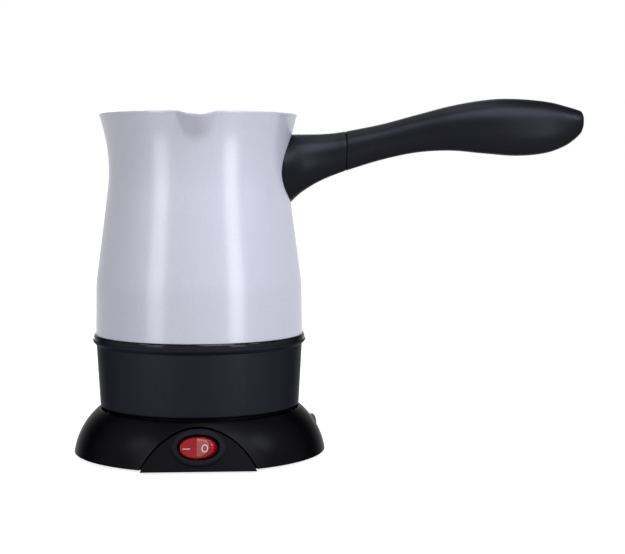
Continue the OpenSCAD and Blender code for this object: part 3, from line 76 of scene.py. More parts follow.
# ---- small geometry helpers ----
def turns(n):
    """n equal steps round a circle, in radians."""
    return [2 * math.pi * j / n for j in range(n)]


def rounded_corner(a, b, c, r, n):
    """Points that round the corner b of the path a, b, c with radius r."""
    a, b, c = Vector(a), Vector(b), Vector(c)
    u, v = (a - b).normalized(), (c - b).normalized()
    half = u.angle(v) / 2
    o = b + (u + v).normalized() * (r / math.sin(half))
    s, e = b + u * (r / math.tan(half)), b + v * (r / math.tan(half))
    a0, a1 = math.atan2(s.y - o.y, s.x - o.x), math.atan2(e.y - o.y, e.x - o.x)
    turn = (a1 - a0 + 3 * math.pi) % (2 * math.pi) - math.pi
    angles = [a0 + turn * i / n for i in range(n + 1)]
    return [tuple(o + Vector((math.cos(t), math.sin(t))) * r) for t in angles]


def softened(corners, radius, n):
    """A closed outline whose corners are rounded, each by no more than its own sides allow."""
    side_share = 0.45
    out = []
    for i, b in enumerate(corners):
        a, c = corners[i - 1], corners[(i + 1) % len(corners)]
        u, v = Vector(a) - Vector(b), Vector(c) - Vector(b)
        half = u.angle(v) / 2
        room = side_share * min(u.length, v.length) * math.tan(half)
        out += rounded_corner(a, b, c, min(radius, room), n)
    return out


def resampled(points, step):
    """The open path with points added so that none lie further apart than step."""
    out = [points[0]]
    for p, q in zip(points, points[1:]):
        n = max(1, math.ceil(math.dist(p, q) / step))
        out += [tuple(p[k] + (q[k] - p[k]) * i / n for k in range(len(p))) for i in range(1, n + 1)]
    return out


def smoothstep(low, high, x):
    t = min(max((x - low) / (high - low), 0), 1)
    return t * t * (3 - 2 * t)


def smooth_max(a, b, blend):
    h = max(blend - abs(a - b), 0) / blend
    return max(a, b) + h * h * blend / 4


def curve_at(points, x):
    """Height at x of a smooth curve through points whose x values rise."""
    def slope(i):
        lo, hi = max(i - 1, 0), min(i + 1, len(points) - 1)
        return (points[hi][1] - points[lo][1]) / (points[hi][0] - points[lo][0])
    i = max([k for k in range(len(points) - 1) if x >= points[k][0]] or [0])
    w = points[i + 1][0] - points[i][0]
    t = min(max((x - points[i][0]) / w, 0), 1)
    return (points[i][1] * (2 * t**3 - 3 * t * t + 1) + slope(i) * w * (t**3 - 2 * t * t + t)
            + points[i + 1][1] * (3 * t * t - 2 * t**3) + slope(i + 1) * w * (t**3 - t * t))


def grid_faces(rows, columns, closed_rows=False):
    """Faces between rings of points that each go all the way round."""
    last = rows if closed_rows else rows - 1
    return [(i * columns + j, i * columns + (j + 1) % columns,
             (i + 1) % rows * columns + (j + 1) % columns, (i + 1) % rows * columns + j)
            for i in range(last) for j in range(columns)]


def close_end(verts, faces, start, columns, centre):
    """Close the ring of points that begins at index start with a fan to its centre."""
    verts.append(centre)
    faces += [(start + j, start + (j + 1) % columns, len(verts) - 1) for j in range(columns)]


# ---- pieces ----
def place(piece, body, sharp, replaces):
    bpy.context.scene.collection.objects.link(piece)
    piece.data.polygons.foreach_set("use_smooth", [True] * len(piece.data.polygons))
    piece.data.set_sharp_from_angle(angle=math.radians(sharp))
    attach(piece, body)
    if replaces:
        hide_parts(*replaces)
    return piece


def build(name, verts, faces, body, slot, materials, face_material=None, sharp=40, replaces=()):
    """A mesh piece in millimetres that rides on a CAD body and may stand for CAD nodes."""
    mesh = bpy.data.meshes.new(name)
    mesh.from_pydata([Vector(v) * MM for v in verts], [], faces)
    for material in materials:
        mesh.materials.append(material)
    if face_material:
        indices = [face_material(i) for i in range(len(mesh.polygons))]
        mesh.polygons.foreach_set("material_index", indices)
    turned_out = bmesh.new()
    turned_out.from_mesh(mesh)
    bmesh.ops.recalc_face_normals(turned_out, faces=turned_out.faces)
    turned_out.to_mesh(mesh)
    turned_out.free()
    return place(bpy.data.objects.new(name, mesh), body, sharp, replaces)


def revolved(name, outline, body, slot, materials, columns=256, **options):
    """A closed outline of (radius, height), turned about the vertical axis."""
    verts = [(r * math.cos(t), r * math.sin(t), z) for r, z in outline for t in turns(columns)]
    faces = grid_faces(len(outline), columns, True)
    return build(name, verts, faces, body, slot, materials, **options)


WELD, FLAT_ANGLE, BEVEL_ANGLE = 0.002 * MM, math.radians(0.5), math.radians(35)


def refined(node, material, bevel=0.0, sharp=35):
    """A welded copy of a CAD node, with its edges broken, which stands for that node."""
    mesh = NODES[node].data.copy()
    mesh.materials.clear()
    mesh.materials.append(material)
    for layer in ("custom_normal", "sharp_face", "sharp_edge"):
        if layer in mesh.attributes:
            mesh.attributes.remove(mesh.attributes[layer])
    welded = bmesh.new()
    welded.from_mesh(mesh)
    bmesh.ops.remove_doubles(welded, verts=welded.verts, dist=WELD)
    bmesh.ops.dissolve_limit(welded, angle_limit=FLAT_ANGLE, verts=welded.verts, edges=welded.edges)
    welded.to_mesh(mesh)
    welded.free()
    piece = bpy.data.objects.new(node + "_finished", mesh)
    place(piece, NODES[node]["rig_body"], sharp, (node,))
    if bevel:
        broken = piece.modifiers.new("edges", "BEVEL")
        broken.width = bevel * MM
        broken.segments = 3
        broken.limit_method = "ANGLE"
        broken.angle_limit = BEVEL_ANGLE
        broken.harden_normals = True
    return piece


# ---- materials ----
# Grain and clouds are in features a metre, and depths in millimetres.
GRAIN, CLOUDS, FLAKES = 2600, 45, 2600.0
DARK_LINES, LINE_DEPTH, FLAKE_DEPTH = 0.88, 0.01, 0.008


def shader(name, **sockets):
    """A material with a Principled shader whose constant inputs are set by name."""
    material = bpy.data.materials.new(name)
    material.use_nodes = True
    for key, value in sockets.items():
        socket(material, key.replace("_", " ")).default_value = value
    return material


def socket(material, name):
    return material.node_tree.nodes["Principled BSDF"].inputs[name]


def add(material, kind, **values):
    """A node whose settings and inputs are given by name."""
    node = material.node_tree.nodes.new(kind)
    for key, value in values.items():
        if hasattr(node, key):
            setattr(node, key, value)
        else:
            node.inputs[key.replace("_", " ")].default_value = value
    return node


def link(material, output, target):
    material.node_tree.links.new(output, target)


def noise(material, scale, detail, stretch=(1, 1, 1)):
    """Noise in object space, with about scale features a metre."""
    place_in = add(material, "ShaderNodeTexCoord")
    mapping = add(material, "ShaderNodeMapping", Scale=stretch)
    texture = add(material, "ShaderNodeTexNoise", Scale=scale, Detail=detail)
    link(material, place_in.outputs["Object"], mapping.inputs["Vector"])
    link(material, mapping.outputs["Vector"], texture.inputs["Vector"])
    return texture.outputs["Fac"]


def spread(material, source, low, high, start=0.3, end=0.7):
    """The source mapped from start to end, a noise's middle range, onto low to high."""
    ramp = add(material, "ShaderNodeMapRange",
               From_Min=start, From_Max=end, To_Min=low, To_Max=high)
    link(material, source, ramp.inputs["Value"])
    return ramp.outputs["Result"]


def colour_by(material, source, dark, light):
    """The base colour, from dark to light as the source goes from 0 to 1."""
    mix = add(material, "ShaderNodeMix", data_type="RGBA")
    mix.inputs["A"].default_value = (*dark, 1)
    mix.inputs["B"].default_value = (*light, 1)
    link(material, source, mix.inputs["Factor"])
    link(material, mix.outputs["Result"], socket(material, "Base Color"))


def rough_by(material, source, low, high):
    """The roughness, which the source's middle range spreads from low to high."""
    link(material, spread(material, source, low, high), socket(material, "Roughness"))


def bump(material, height, strength, depth):
    """Surface relief of that depth in millimetres."""
    relief = add(material, "ShaderNodeBump", Strength=strength, Distance=depth * MM)
    link(material, height, relief.inputs["Height"])
    link(material, relief.outputs["Normal"], socket(material, "Normal"))


def grained(material, colour, roughness, grain, depth, pale, swing, relief):
    """Give plastic a fine grain, and a slight change of gloss from place to place."""
    fine, broad = noise(material, grain, 2), noise(material, CLOUDS, 2)
    colour_by(material, fine, colour, tuple(c * pale for c in colour))
    rough_by(material, broad, roughness - swing, roughness + swing)
    bump(material, fine, relief, depth)
    return material


def moulded(name, colour, roughness, grain=GRAIN, depth=0.02, level=0.5):
    """Moulded plastic or rubber."""
    material = shader(name, Specular_IOR_Level=level)
    return grained(material, colour, roughness, grain, depth, pale=1.12, swing=0.03, relief=0.35)


def black_gloss(name, colour, roughness, grain=2400, depth=0.01, edge=0.45):
    """Black plastic as its reflections show it: colour is the share of light it sends back."""
    material = shader(name, Metallic=1.0, Specular_Tint=(edge, edge, edge, 1))
    return grained(material, colour, roughness, grain, depth, pale=1.15, swing=0.02, relief=0.25)


def metal(name, colour, roughness, stretch=(1, 1, 1), grain=900, relief=0.25):
    """Bare metal with fine lines, which a stretch draws out along an axis."""
    material = shader(name, Metallic=1.0)
    lines = noise(material, grain, 3, stretch)
    colour_by(material, lines, tuple(c * DARK_LINES for c in colour), colour)
    rough_by(material, lines, roughness - 0.05, roughness + 0.06)
    bump(material, lines, relief, LINE_DEPTH)
    return material


def pearl_paint():
    """Metallic enamel under a clear coat, with fine flake."""
    material = shader("pearl_lilac_enamel", Metallic=0.06, Specular_IOR_Level=0.02,
                      Coat_Weight=0.5, Coat_Roughness=0.2, Coat_IOR=2.0)
    flake_place = add(material, "ShaderNodeTexCoord")
    flake = add(material, "ShaderNodeTexVoronoi", Scale=FLAKES)
    link(material, flake_place.outputs["Object"], flake.inputs["Vector"])
    apart = add(material, "ShaderNodeSeparateColor")
    link(material, flake.outputs["Color"], apart.inputs["Color"])
    colour_by(material, apart.outputs["Red"], (0.495, 0.495, 0.585), (0.53, 0.53, 0.625))
    rough_by(material, apart.outputs["Green"], 0.33, 0.43)
    bump(material, apart.outputs["Blue"], 0.12, FLAKE_DEPTH)
    return material


def clear_red():
    """Clear red plastic, lit softly through its wall."""
    material = shader("clear_red_rocker", IOR=1.49, Specular_IOR_Level=0.03,
                      Coat_Weight=0.5, Coat_Roughness=0.05, Subsurface_Weight=0.35,
                      Subsurface_Scale=0.0025, Subsurface_Radius=(1.0, 0.12, 0.1))
    cloud = noise(material, 260, 2)
    colour_by(material, cloud, (0.24, 0.002, 0.004), (0.31, 0.004, 0.006))
    rough_by(material, cloud, 0.14, 0.2)
    bump(material, cloud, 0.1, 0.02)
    return material


def wire(name, colour):
    return moulded(name, colour, 0.45, 1200, 0.01, 0.4)


def lamp_glass():
    material = shader("neon_glass", Transmission_Weight=0.9, IOR=1.5)
    streak = noise(material, 500, 2)
    colour_by(material, streak, (1.0, 0.72, 0.55), (1.0, 0.82, 0.7))
    rough_by(material, streak, 0.02, 0.06)
    return material


# Every finish has its name, colour and roughness, and where they differ from the usual, its
# grain, its depth and its specular level, or a metal's stretch, grain and relief.
FINISH = {
    "base_black": black_gloss("base_black_plastic", (0.0054, 0.0054, 0.0062), 0.33),
    "foot_black": black_gloss("foot_black_plastic", (0.0135, 0.014, 0.019), 0.42),
    "handle_black": black_gloss("handle_black_plastic", (0.0105, 0.0107, 0.0135), 0.35, edge=0.5),
    "pearl_lilac": pearl_paint(),
    "ring_black": black_gloss("ring_black_polished", (0.014, 0.014, 0.0165), 0.09, 300, 0.002),
    "foot_rubber": moulded("foot_rubber", (0.02, 0.02, 0.02), 0.75, 1800, 0.03, 0.3),
    "inlet_rubber": moulded("inlet_rubber", (0.012, 0.012, 0.013), 0.6, 1800, 0.03, 0.35),
    "screw_steel": metal("zinc_screws", (0.62, 0.63, 0.65), 0.32),
    "bracket_steel": metal("bare_stainless", (0.66, 0.66, 0.67), 0.28, (1, 1, 12)),
    "contact_brass": metal("stamped_brass", (0.80, 0.60, 0.26), 0.27),
    "plug_black": moulded("plug_black", (0.016, 0.016, 0.018), 0.5),
    "socket_cream": moulded("socket_cream", (0.62, 0.58, 0.47), 0.5),
    "bezel_grey": black_gloss("bezel_dark_grey", (0.0085, 0.0095, 0.012), 0.28),
    "rocker_red": clear_red(),
    "plunger_cream": moulded("natural_nylon", (0.75, 0.71, 0.6), 0.45),
    "lamp_glass": lamp_glass(),
    "resistor_tan": moulded("resistor_coat", (0.55, 0.44, 0.26), 0.5),
    "clamp_black": moulded("clamp_black", (0.02, 0.02, 0.022), 0.5),
    "block_cream": moulded("terminal_block", (0.7, 0.68, 0.6), 0.45),
    "wire_brown": wire("lead_brown", (0.12, 0.045, 0.018)),
    "wire_black": wire("lead_black", (0.012, 0.012, 0.012)),
    "wire_blue": wire("lead_blue", (0.02, 0.09, 0.38)),
    "wire_green": wire("lead_green", (0.16, 0.34, 0.03)),
    "wire_white": wire("lead_white", (0.72, 0.69, 0.62)),
    "seal_red": moulded("silicone_seal", (0.42, 0.07, 0.045), 0.55, 1500, 0.02, 0.4),
    "plate_aluminium": metal("cast_aluminium", (0.72, 0.73, 0.74), 0.45, (1, 1, 1), 700),
    "element_steel": metal("element_sheath", (0.36, 0.35, 0.34), 0.42),
    "thermostat_brown": moulded("phenolic_brown", (0.10, 0.032, 0.014), 0.4),
    "fuse_ceramic": moulded("fuse_ceramic", (0.72, 0.68, 0.56), 0.55, 1500, 0.01),
}
PANEL_BLACK = black_gloss("panel_black_plastic", (0.0052, 0.0052, 0.0062), 0.34)
INSIDE_STEEL = metal("jug_inside_steel", (0.44, 0.44, 0.45), 0.44, (1, 1, 14), 300, 0.04)
MARK_WHITE = moulded("mark_white", (0.66, 0.46, 0.5), 0.45, 1800, 0.004)

for part in frame["record"]["subparts"]:
    solid = NODES[part["node"]].data
    solid.materials.clear()
    solid.materials.append(FINISH[part["material_slot"]])

# ---- jug ----
CORNER_STEPS, SHOULDER_STEPS, NECK_STEPS = 8, 12, 32
WALL_STEP, RIM_STEPS, PAINTED_RIM_STEPS = 1.6, 8, 6
BEAK_BLEND, BEAK_ZONE, BEAK_CROWD, DIP_FADE = 1.3, 2.2 * BEAK_DROP, 0.55, 16


def pot_outline(inset):
    """Half outline of the pot, moved in by inset, from the axis up to the rim."""
    neck_z = ((SHOULDER_R - RIM_R + SHOULDER_Z * math.tan(TAPER) + RIM_Z * math.tan(FLARE))
              / (math.tan(FLARE) + math.tan(TAPER)))
    neck_r = RIM_R - (RIM_Z - neck_z) * math.tan(FLARE)
    rim, neck = (RIM_R - inset, RIM_Z), (neck_r - inset, neck_z)
    shoulder, belly = (SHOULDER_R - inset, SHOULDER_Z), (BELLY_R - inset, POT_UNDER_Z + inset)
    centre = (0.0, POT_UNDER_Z + inset)
    return ([centre] + rounded_corner(centre, belly, shoulder, POT_CORNER - inset, CORNER_STEPS)
            + rounded_corner(belly, shoulder, neck, SHOULDER_BLEND, SHOULDER_STEPS)
            + rounded_corner(shoulder, neck, rim, NECK_BLEND, NECK_STEPS) + [rim])


POT_WALL = [(z, r) for r, z in pot_outline(0)[2:]]


def wall_radius(z):
    """Radius of the pot's outside at a height."""
    for (z0, r0), (z1, r1) in zip(POT_WALL, POT_WALL[1:]):
        if z <= z1:
            return r0 + (r1 - r0) * max(z - z0, 0) / max(z1 - z0, 1e-6)
    return POT_WALL[-1][1]


def beak_distance(angle, z, inset):
    """How far the pressed beak reaches from the axis, at an angle from its middle."""
    crease_r = RIM_R - BEAK_DROP * math.tan(FLARE)
    lean = math.atan((RIM_R + BEAK_REACH - crease_r) / BEAK_DROP)
    a = BEAK_R - inset
    b = a / math.cos(lean)
    centre = RIM_R + BEAK_REACH - (RIM_Z - z) * math.tan(lean) - inset / math.cos(lean) - b
    s, c = math.sin(angle), math.cos(angle)
    qa, qb, qc = s * s / a**2 + c * c / b**2, c * centre / b**2, centre**2 / b**2 - 1
    inside = qb * qb - qa * qc
    return (qb + math.sqrt(inside)) / qa if inside > 0 and c > 0 else 0.0


def rim_dip(x):
    """How far the rim dips over the beak, at a distance from the beak's middle."""
    r = (BEAK_DIP_HALF**2 + BEAK_DIP**2) / (2 * BEAK_DIP)
    if abs(x) >= BEAK_DIP_HALF:
        return 0.0
    return BEAK_DIP - (r - math.sqrt(r * r - x * x))


def make_jug(columns=360):
    half_t = STEEL_T / 2
    low_rim = RIM_Z - half_t

    def wall(inset):
        points = resampled(pot_outline(inset), WALL_STEP)[:-1]
        return [(r, min(z, low_rim), inset) for r, z in points]

    rolled = [(RIM_R - half_t + half_t * math.cos(math.pi * i / RIM_STEPS),
               RIM_Z - half_t + half_t * math.sin(math.pi * i / RIM_STEPS),
               i / RIM_STEPS * STEEL_T) for i in range(RIM_STEPS + 1)]
    outside, inside = wall(0.0), wall(STEEL_T)[::-1]
    path = outside[1:] + rolled + inside[:-1]
    verts = []
    for r, z, inset in path:
        dipping = smoothstep(RIM_Z - DIP_FADE, RIM_Z, z)
        for turn in turns(columns):
            # The columns crowd together towards the beak.
            angle = turn - BEAK_CROWD * math.sin(turn)
            beak = beak_distance(angle, z, inset)
            reach = smooth_max(r, beak, BEAK_BLEND) if z > RIM_Z - BEAK_ZONE else r
            x = reach * math.sin(angle)
            drop = rim_dip(x) * dipping if math.cos(angle) > 0 else 0.0
            verts.append((x, -reach * math.cos(angle), z - drop))
    faces = grid_faces(len(path), columns)
    close_end(verts, faces, 0, columns, (0, 0, outside[0][1]))
    close_end(verts, faces, (len(path) - 1) * columns, columns, (0, 0, inside[-1][1]))
    painted = (len(outside) - 1 + PAINTED_RIM_STEPS) * columns
    outer_cap = range(len(faces) - 2 * columns, len(faces) - columns)
    build("jug_pot_drawn", verts, faces, "jug", "pearl_lilac",
          [FINISH["pearl_lilac"], INSIDE_STEEL],
          face_material=lambda i: 0 if i < painted or i in outer_cap else 1,
          sharp=60, replaces=("jug_pot",))


make_jug()

# ---- trim ring and heated foot ----
RING_CLEAR, RING_FOOT_INSET, RING_DRAFT, RING_TONGUE = 0.15, 1.6, 0.05, 0.5
RING_FALL, RING_LAND, RING_CROWN = 0.75, 0.55, 0.02
RING_LIP_ROUND, RING_SIDE_ROUND, RING_INNER_ROUND, NEST_STEPS = 0.12, 0.9, 0.15, 12


def make_trim_ring():
    nest = POT_CORNER + RING_CLEAR
    corner_r, corner_z = BELLY_R - POT_CORNER, POT_UNDER_Z + POT_CORNER
    foot, lip = (LIP_R - RING_FOOT_INSET, LIP_Z), (TRIM_R, LIP_Z)
    side = (TRIM_R - RING_DRAFT, TRIM_Z - RING_FALL)
    crown, inner = (BELLY_R + RING_LAND, TRIM_Z - RING_CROWN), (BELLY_R + RING_CLEAR, TRIM_Z)
    path = ([foot] + rounded_corner(foot, lip, side, RING_LIP_ROUND, 4)
            + rounded_corner(lip, side, crown, RING_SIDE_ROUND, 10)
            + rounded_corner(side, crown, inner, RING_INNER_ROUND, 4) + [inner])
    # From here the path follows the pot's corner, and then goes down to the housing's ledge.
    path += [(corner_r + nest * math.cos(a), corner_z - nest * math.sin(a))
             for a in (math.radians(90 / NEST_STEPS * i) for i in range(NEST_STEPS + 1))]
    tongue_r = corner_r - RING_TONGUE
    path += [(tongue_r, corner_z - nest), (tongue_r, LEDGE_Z), (foot[0], LEDGE_Z)]
    revolved("trim_ring_polished", path, "jug", "ring_black", [FINISH["ring_black"]],
             replaces=("trim_ring",), sharp=50)


make_trim_ring()
refined("lower_housing", FINISH["foot_black"], sharp=30)

# ---- handle ----
# Each table is (share of the length, size): heights from the seam's own height, and half widths.
NECK_START_X = 37.0
NECK_TOP = [(0, 8.2), (0.3, 8.2), (0.6, 8.3), (0.82, 8.8), (1, 9.7)]
NECK_LOW = [(0, -35), (0.18, -27.3), (0.31, -22.6), (0.4, -20), (0.56, -16.4), (0.73, -13.4),
            (0.89, -11.2), (1, -9.8)]
NECK_HALF = [(0, 21.5), (0.1, 17.6), (0.2, 15), (0.31, 12.7), (0.43, 11), (0.6, 9.6), (0.8, 8.8),
             (1, 8.5)]
GRIP_TOP = [(0, 9.7), (0.15, 13.3), (0.3, 18.1), (0.455, 22.8), (0.6, 25.6), (0.72, 25.9),
            (0.855, 24.4), (0.955, 21.4), (1, 19.7)]
GRIP_LOW = [(0, -9.8), (0.15, -4.4), (0.3, -0.7), (0.445, 0.2), (0.585, -1.2), (0.72, -2.3),
            (0.84, -1), (0.922, 2.4), (0.972, 6.6), (1, 10.2)]
GRIP_HALF = [(0, 8.5), (0.15, 8.1), (0.3, 8.4), (0.455, 9.7), (0.6, 10.9), (0.72, 11.3),
             (0.855, 10.4), (0.955, 8), (1, 5.8)]
SEAM_HALF = GRIP_HALF[0][1]
NECK_POWER, GRIP_POWER = 2.1, 2.3
WALL_CLEAR = 0.06
SIDES, SEARCH_STEPS = 96, 30
SPIGOT_INSET, SPIGOT_CLEAR = 1.1, 0.01


def around_handle(share, tables, power, angle):
    """Place across the handle (y, height), at a share of its length and an angle from the top."""
    top, low, half = (curve_at(t, share) for t in tables)
    c, s = math.cos(angle), math.sin(angle)
    rise = math.copysign(abs(c) ** (2 / power), c) * (top - low) / 2
    side = math.copysign(abs(s) ** (2 / power), s) * half
    return side, SEAM_Z + (top + low) / 2 + rise


def make_neck(stations=56):
    tables = (NECK_TOP, NECK_LOW, NECK_HALF)
    length = SEAM_X - NECK_START_X
    end = 1 - SEAM_GAP / 2 / length
    round_start = end - 0.012

    def point(share, angle):
        y, z = around_handle(share, tables, NECK_POWER, angle)
        return NECK_START_X + share * length, y, z

    lines = []
    for angle in turns(SIDES):
        # Each line along the neck starts where it comes out of the jug's wall.
        low, high = 0.0, 1.0
        for _ in range(SEARCH_STEPS):
            share = (low + high) / 2
            x, y, z = point(share, angle)
            buried = math.hypot(x, y) < wall_radius(z) + WALL_CLEAR
            low, high = (share, high) if buried else (low, share)
        lines.append([point(high + (round_start - high) * i / stations, angle)
                      for i in range(stations + 1)])
    verts = [line[i] for i in range(stations + 1) for line in lines]
    # The edge at the seam turns in over a small radius, and a spigot closes the seam behind it.
    spigot_end = 1 + (SEAM_GAP / 2 - SPIGOT_CLEAR) / length
    for inset, share in ((0.02, end - 0.004), (0.12, end - 0.001), (0.4, end),
                         (SPIGOT_INSET, end), (SPIGOT_INSET, spigot_end)):
        scale = 1 - inset / SEAM_HALF
        for angle in turns(SIDES):
            _, y, z = point(min(share, end), angle)
            verts.append((NECK_START_X + share * length, y * scale, SEAM_Z + (z - SEAM_Z) * scale))
    rings = len(verts) // SIDES
    faces = grid_faces(rings, SIDES)
    close_end(verts, faces, (rings - 1) * SIDES, SIDES,
              (NECK_START_X + spigot_end * length, 0, SEAM_Z))
    # The hidden end follows the jug's wall.
    foot = [Vector(line[0]) for line in lines]
    middle = sum(foot, Vector()) / SIDES
    outer = 0
    for shrink in (0.75, 0.5, 0.25):
        inner = len(verts)
        for edge_point in foot:
            p = middle + (edge_point - middle) * shrink
            p.x = math.sqrt((wall_radius(p.z) + WALL_CLEAR) ** 2 - p.y**2)
            verts.append(tuple(p))
        faces += [(outer + j, outer + (j + 1) % SIDES, inner + (j + 1) % SIDES, inner + j)
                  for j in range(SIDES)]
        outer = inner
    close_end(verts, faces, outer, SIDES, (wall_radius(middle.z) + WALL_CLEAR, 0, middle.z))
    build("handle_neck_moulded", verts, faces, "jug", "handle_black", [FINISH["handle_black"]],
          sharp=60, replaces=("handle_neck",))


def make_grip(stations=130, dome_rings=12):
    tables = (GRIP_TOP, GRIP_LOW, GRIP_HALF)
    length = GRIP_END_X - SEAM_X
    start = SEAM_GAP / 2 / length
    round_share, dome_start = 0.003, 0.985
    tip_size, dome_power = 0.18, 0.72
    verts = []

    def middle_z(share):
        return SEAM_Z + (curve_at(GRIP_TOP, share) + curve_at(GRIP_LOW, share)) / 2

    def ring(share, shrink=1.0):
        middle = middle_z(share)
        for angle in turns(SIDES):
            y, z = around_handle(share, tables, GRIP_POWER, angle)
            verts.append((SEAM_X + share * length, y * shrink, middle + (z - middle) * shrink))

    for inset, share in ((0.4, start), (0.12, start + 0.0003), (0.02, start + 0.0012)):
        ring(share, 1 - inset / SEAM_HALF)
    for i in range(stations + 1):
        ring(start + round_share + (dome_start - start - round_share) * i / stations)
    # The end closes over a dome.
    for i in range(1, dome_rings + 1):
        a = math.pi / 2 * i / (dome_rings + 1)
        ring(dome_start + (1 - dome_start) * math.sin(a),
             tip_size + (1 - tip_size) * math.cos(a) ** dome_power)
    rings = len(verts) // SIDES
    faces = grid_faces(rings, SIDES)
    close_end(verts, faces, 0, SIDES, (SEAM_X + SEAM_GAP / 2, 0, SEAM_Z))
    close_end(verts, faces, (rings - 1) * SIDES, SIDES, (GRIP_END_X, 0, middle_z(1)))
    build("handle_grip_moulded", verts, faces, "jug", "handle_black", [FINISH["handle_black"]],
          sharp=60, replaces=("handle_grip",))


make_neck()
make_grip()

# ---- base and switch ----
refined("base_shell", FINISH["base_black"], sharp=28)
refined("switch_panel", PANEL_BLACK, bevel=0.45)
refined("switch_frame", FINISH["bezel_grey"], bevel=0.25)

PANEL = (Matrix.Translation(Vector((0, -PANEL_REACH, SHELL_Z)))
         @ Matrix.Rotation(math.pi / 2 - PANEL_LEAN, 4, "X"))
ROCKER = (PANEL @ Matrix.Translation(Vector((0, SWITCH_RISE, -PIVOT_DEPTH)))
          @ Matrix.Rotation(-ROCKER_TILT, 4, "Y"))
ROCKER_END_R, ROCKER_HALF_L, ROCKER_HALF_W, OVAL_POWER = 9.55, 9.0, 5.35, 2.15
ROCKER_LEVELS = (-0.4, 1.0, 2.4, 3.6)
FACE_HALF_L, FACE_HALF_W, FACE_DIP, FACE_EDGE = 7.1, 4.1, 1.3, 1.5
MARK_SINK, MARK_LIFT = -0.05, 0.03
RING_X, RING_Y, RING_OUTER, RING_INNER = 3.95, -0.6, (1.6, 1.85), (1.15, 1.35)
DASH_LEFT, DASH_RIGHT, DASH_LOW, DASH_HIGH, DASH_ROUND = -6.3, -2.95, -0.66, -0.34, 0.1


def face_height(x):
    """Height of the rocker's V-shaped face over its pivot."""
    return ROCKER_RISE - FACE_DIP * (1 - abs(x) / FACE_HALF_L)


def oval_point(a, b, turn):
    """A point of an oval with half sizes a and b, a little fuller than an ellipse."""
    return tuple(math.copysign(half * abs(c) ** (2 / OVAL_POWER), c) if abs(c) > 1e-9 else 0.0
                 for half, c in ((a, math.cos(turn)), (b, math.sin(turn))))


def make_rocker(columns=128, edge_steps=8):
    """The rocker: arched ends about the pivot, a rounded edge and a face like an open book."""
    rings = []
    for z in ROCKER_LEVELS:
        end = min(ROCKER_HALF_L, math.sqrt(ROCKER_END_R**2 - z * z))
        rings.append([(*oval_point(end, ROCKER_HALF_W, t), z) for t in turns(columns)])
    shoulder_z = face_height(FACE_HALF_L) - FACE_EDGE
    shoulder_l = math.sqrt(ROCKER_END_R**2 - shoulder_z**2)
    for i in range(edge_steps + 1):
        a = math.pi / 2 * i / edge_steps
        share = 1 - math.cos(a)
        ring = []
        for t in turns(columns):
            outer = oval_point(shoulder_l, ROCKER_HALF_W, t)
            inner = oval_point(FACE_HALF_L, FACE_HALF_W, t)
            x, y = (outer[k] + (inner[k] - outer[k]) * share for k in range(2))
            ring.append((x, y, face_height(inner[0]) - FACE_EDGE * (1 - math.sin(a))))
        rings.append(ring)
    face_start = len(rings) - 1
    for shrink in (0.8, 0.6, 0.4, 0.2):
        ring = [oval_point(FACE_HALF_L * shrink, FACE_HALF_W * shrink, t) for t in turns(columns)]
        rings.append([(x, y, face_height(x)) for x, y in ring])
    verts = [p for ring in rings for p in ring]
    faces = grid_faces(len(rings), columns)
    close_end(verts, faces, 0, columns, (0, 0, ROCKER_LEVELS[0]))
    close_end(verts, faces, (len(rings) - 1) * columns, columns, (0, 0, face_height(0)))
    placed = [tuple(ROCKER @ Vector(v)) for v in verts]
    piece = build("rocker_drawn", placed, faces, "rocker", "rocker_red", [FINISH["rocker_red"]],
                  replaces=("rocker",))
    # The crease across the middle of the face stays sharp.
    crease = {i * columns + j for i in range(face_start, len(rings))
              for j in (columns // 4, 3 * columns // 4)}
    crease.add(len(verts) - 1)
    for edge in piece.data.edges:
        if set(edge.vertices) <= crease:
            edge.use_edge_sharp = True


def make_mark(name, outer, inner=None):
    """A thin printed mark on the rocker's face, between two outlines or inside one."""
    n = len(outer)
    verts = []
    for outline in [outer] + ([inner] if inner else []):
        for height in (MARK_SINK, MARK_LIFT):
            verts += [tuple(ROCKER @ Vector((x, y, face_height(x) + height))) for x, y in outline]
    faces = [(j, (j + 1) % n, n + (j + 1) % n, n + j) for j in range(n)]
    if inner:
        faces += [(2 * n + j, 3 * n + j, 3 * n + (j + 1) % n, 2 * n + (j + 1) % n)
                  for j in range(n)]
        faces += [(n + j, n + (j + 1) % n, 3 * n + (j + 1) % n, 3 * n + j) for j in range(n)]
        faces += [(j, 2 * n + j, 2 * n + (j + 1) % n, (j + 1) % n) for j in range(n)]
    else:
        faces += [tuple(range(n - 1, -1, -1)), tuple(range(n, 2 * n))]
    build(name, verts, faces, "rocker", "rocker_red", [MARK_WHITE])


def ring_outline(half_sizes, steps=40):
    a, b = half_sizes
    return [(RING_X + a * math.cos(t), RING_Y + b * math.sin(t)) for t in turns(steps)]


make_rocker()
make_mark("rocker_mark_ring", ring_outline(RING_OUTER), ring_outline(RING_INNER))
dash_corners = [(DASH_LEFT, DASH_LOW), (DASH_RIGHT, DASH_LOW),
                (DASH_RIGHT, DASH_HIGH), (DASH_LEFT, DASH_HIGH)]
make_mark("rocker_mark_dash", softened(dash_corners, DASH_ROUND, 4))

# ---- camera, in metres: its place and lens were fitted to the photograph's outlines ----
CAMERA_PLACE, CAMERA_LOOKS_DOWN, CAMERA_TURN = (0.0109, -0.7185, 0.1375), 4.097, -3.6
SENSOR, LENS = 36, 83.52

camera_data = bpy.data.cameras.new("camera")
camera_data.sensor_width = SENSOR
camera_data.lens = LENS
camera = bpy.data.objects.new("camera", camera_data)
camera.location = CAMERA_PLACE
camera.rotation_euler = (math.radians(90 - CAMERA_LOOKS_DOWN), 0, math.radians(CAMERA_TURN))
bpy.context.scene.collection.objects.link(camera)
bpy.context.scene.camera = camera


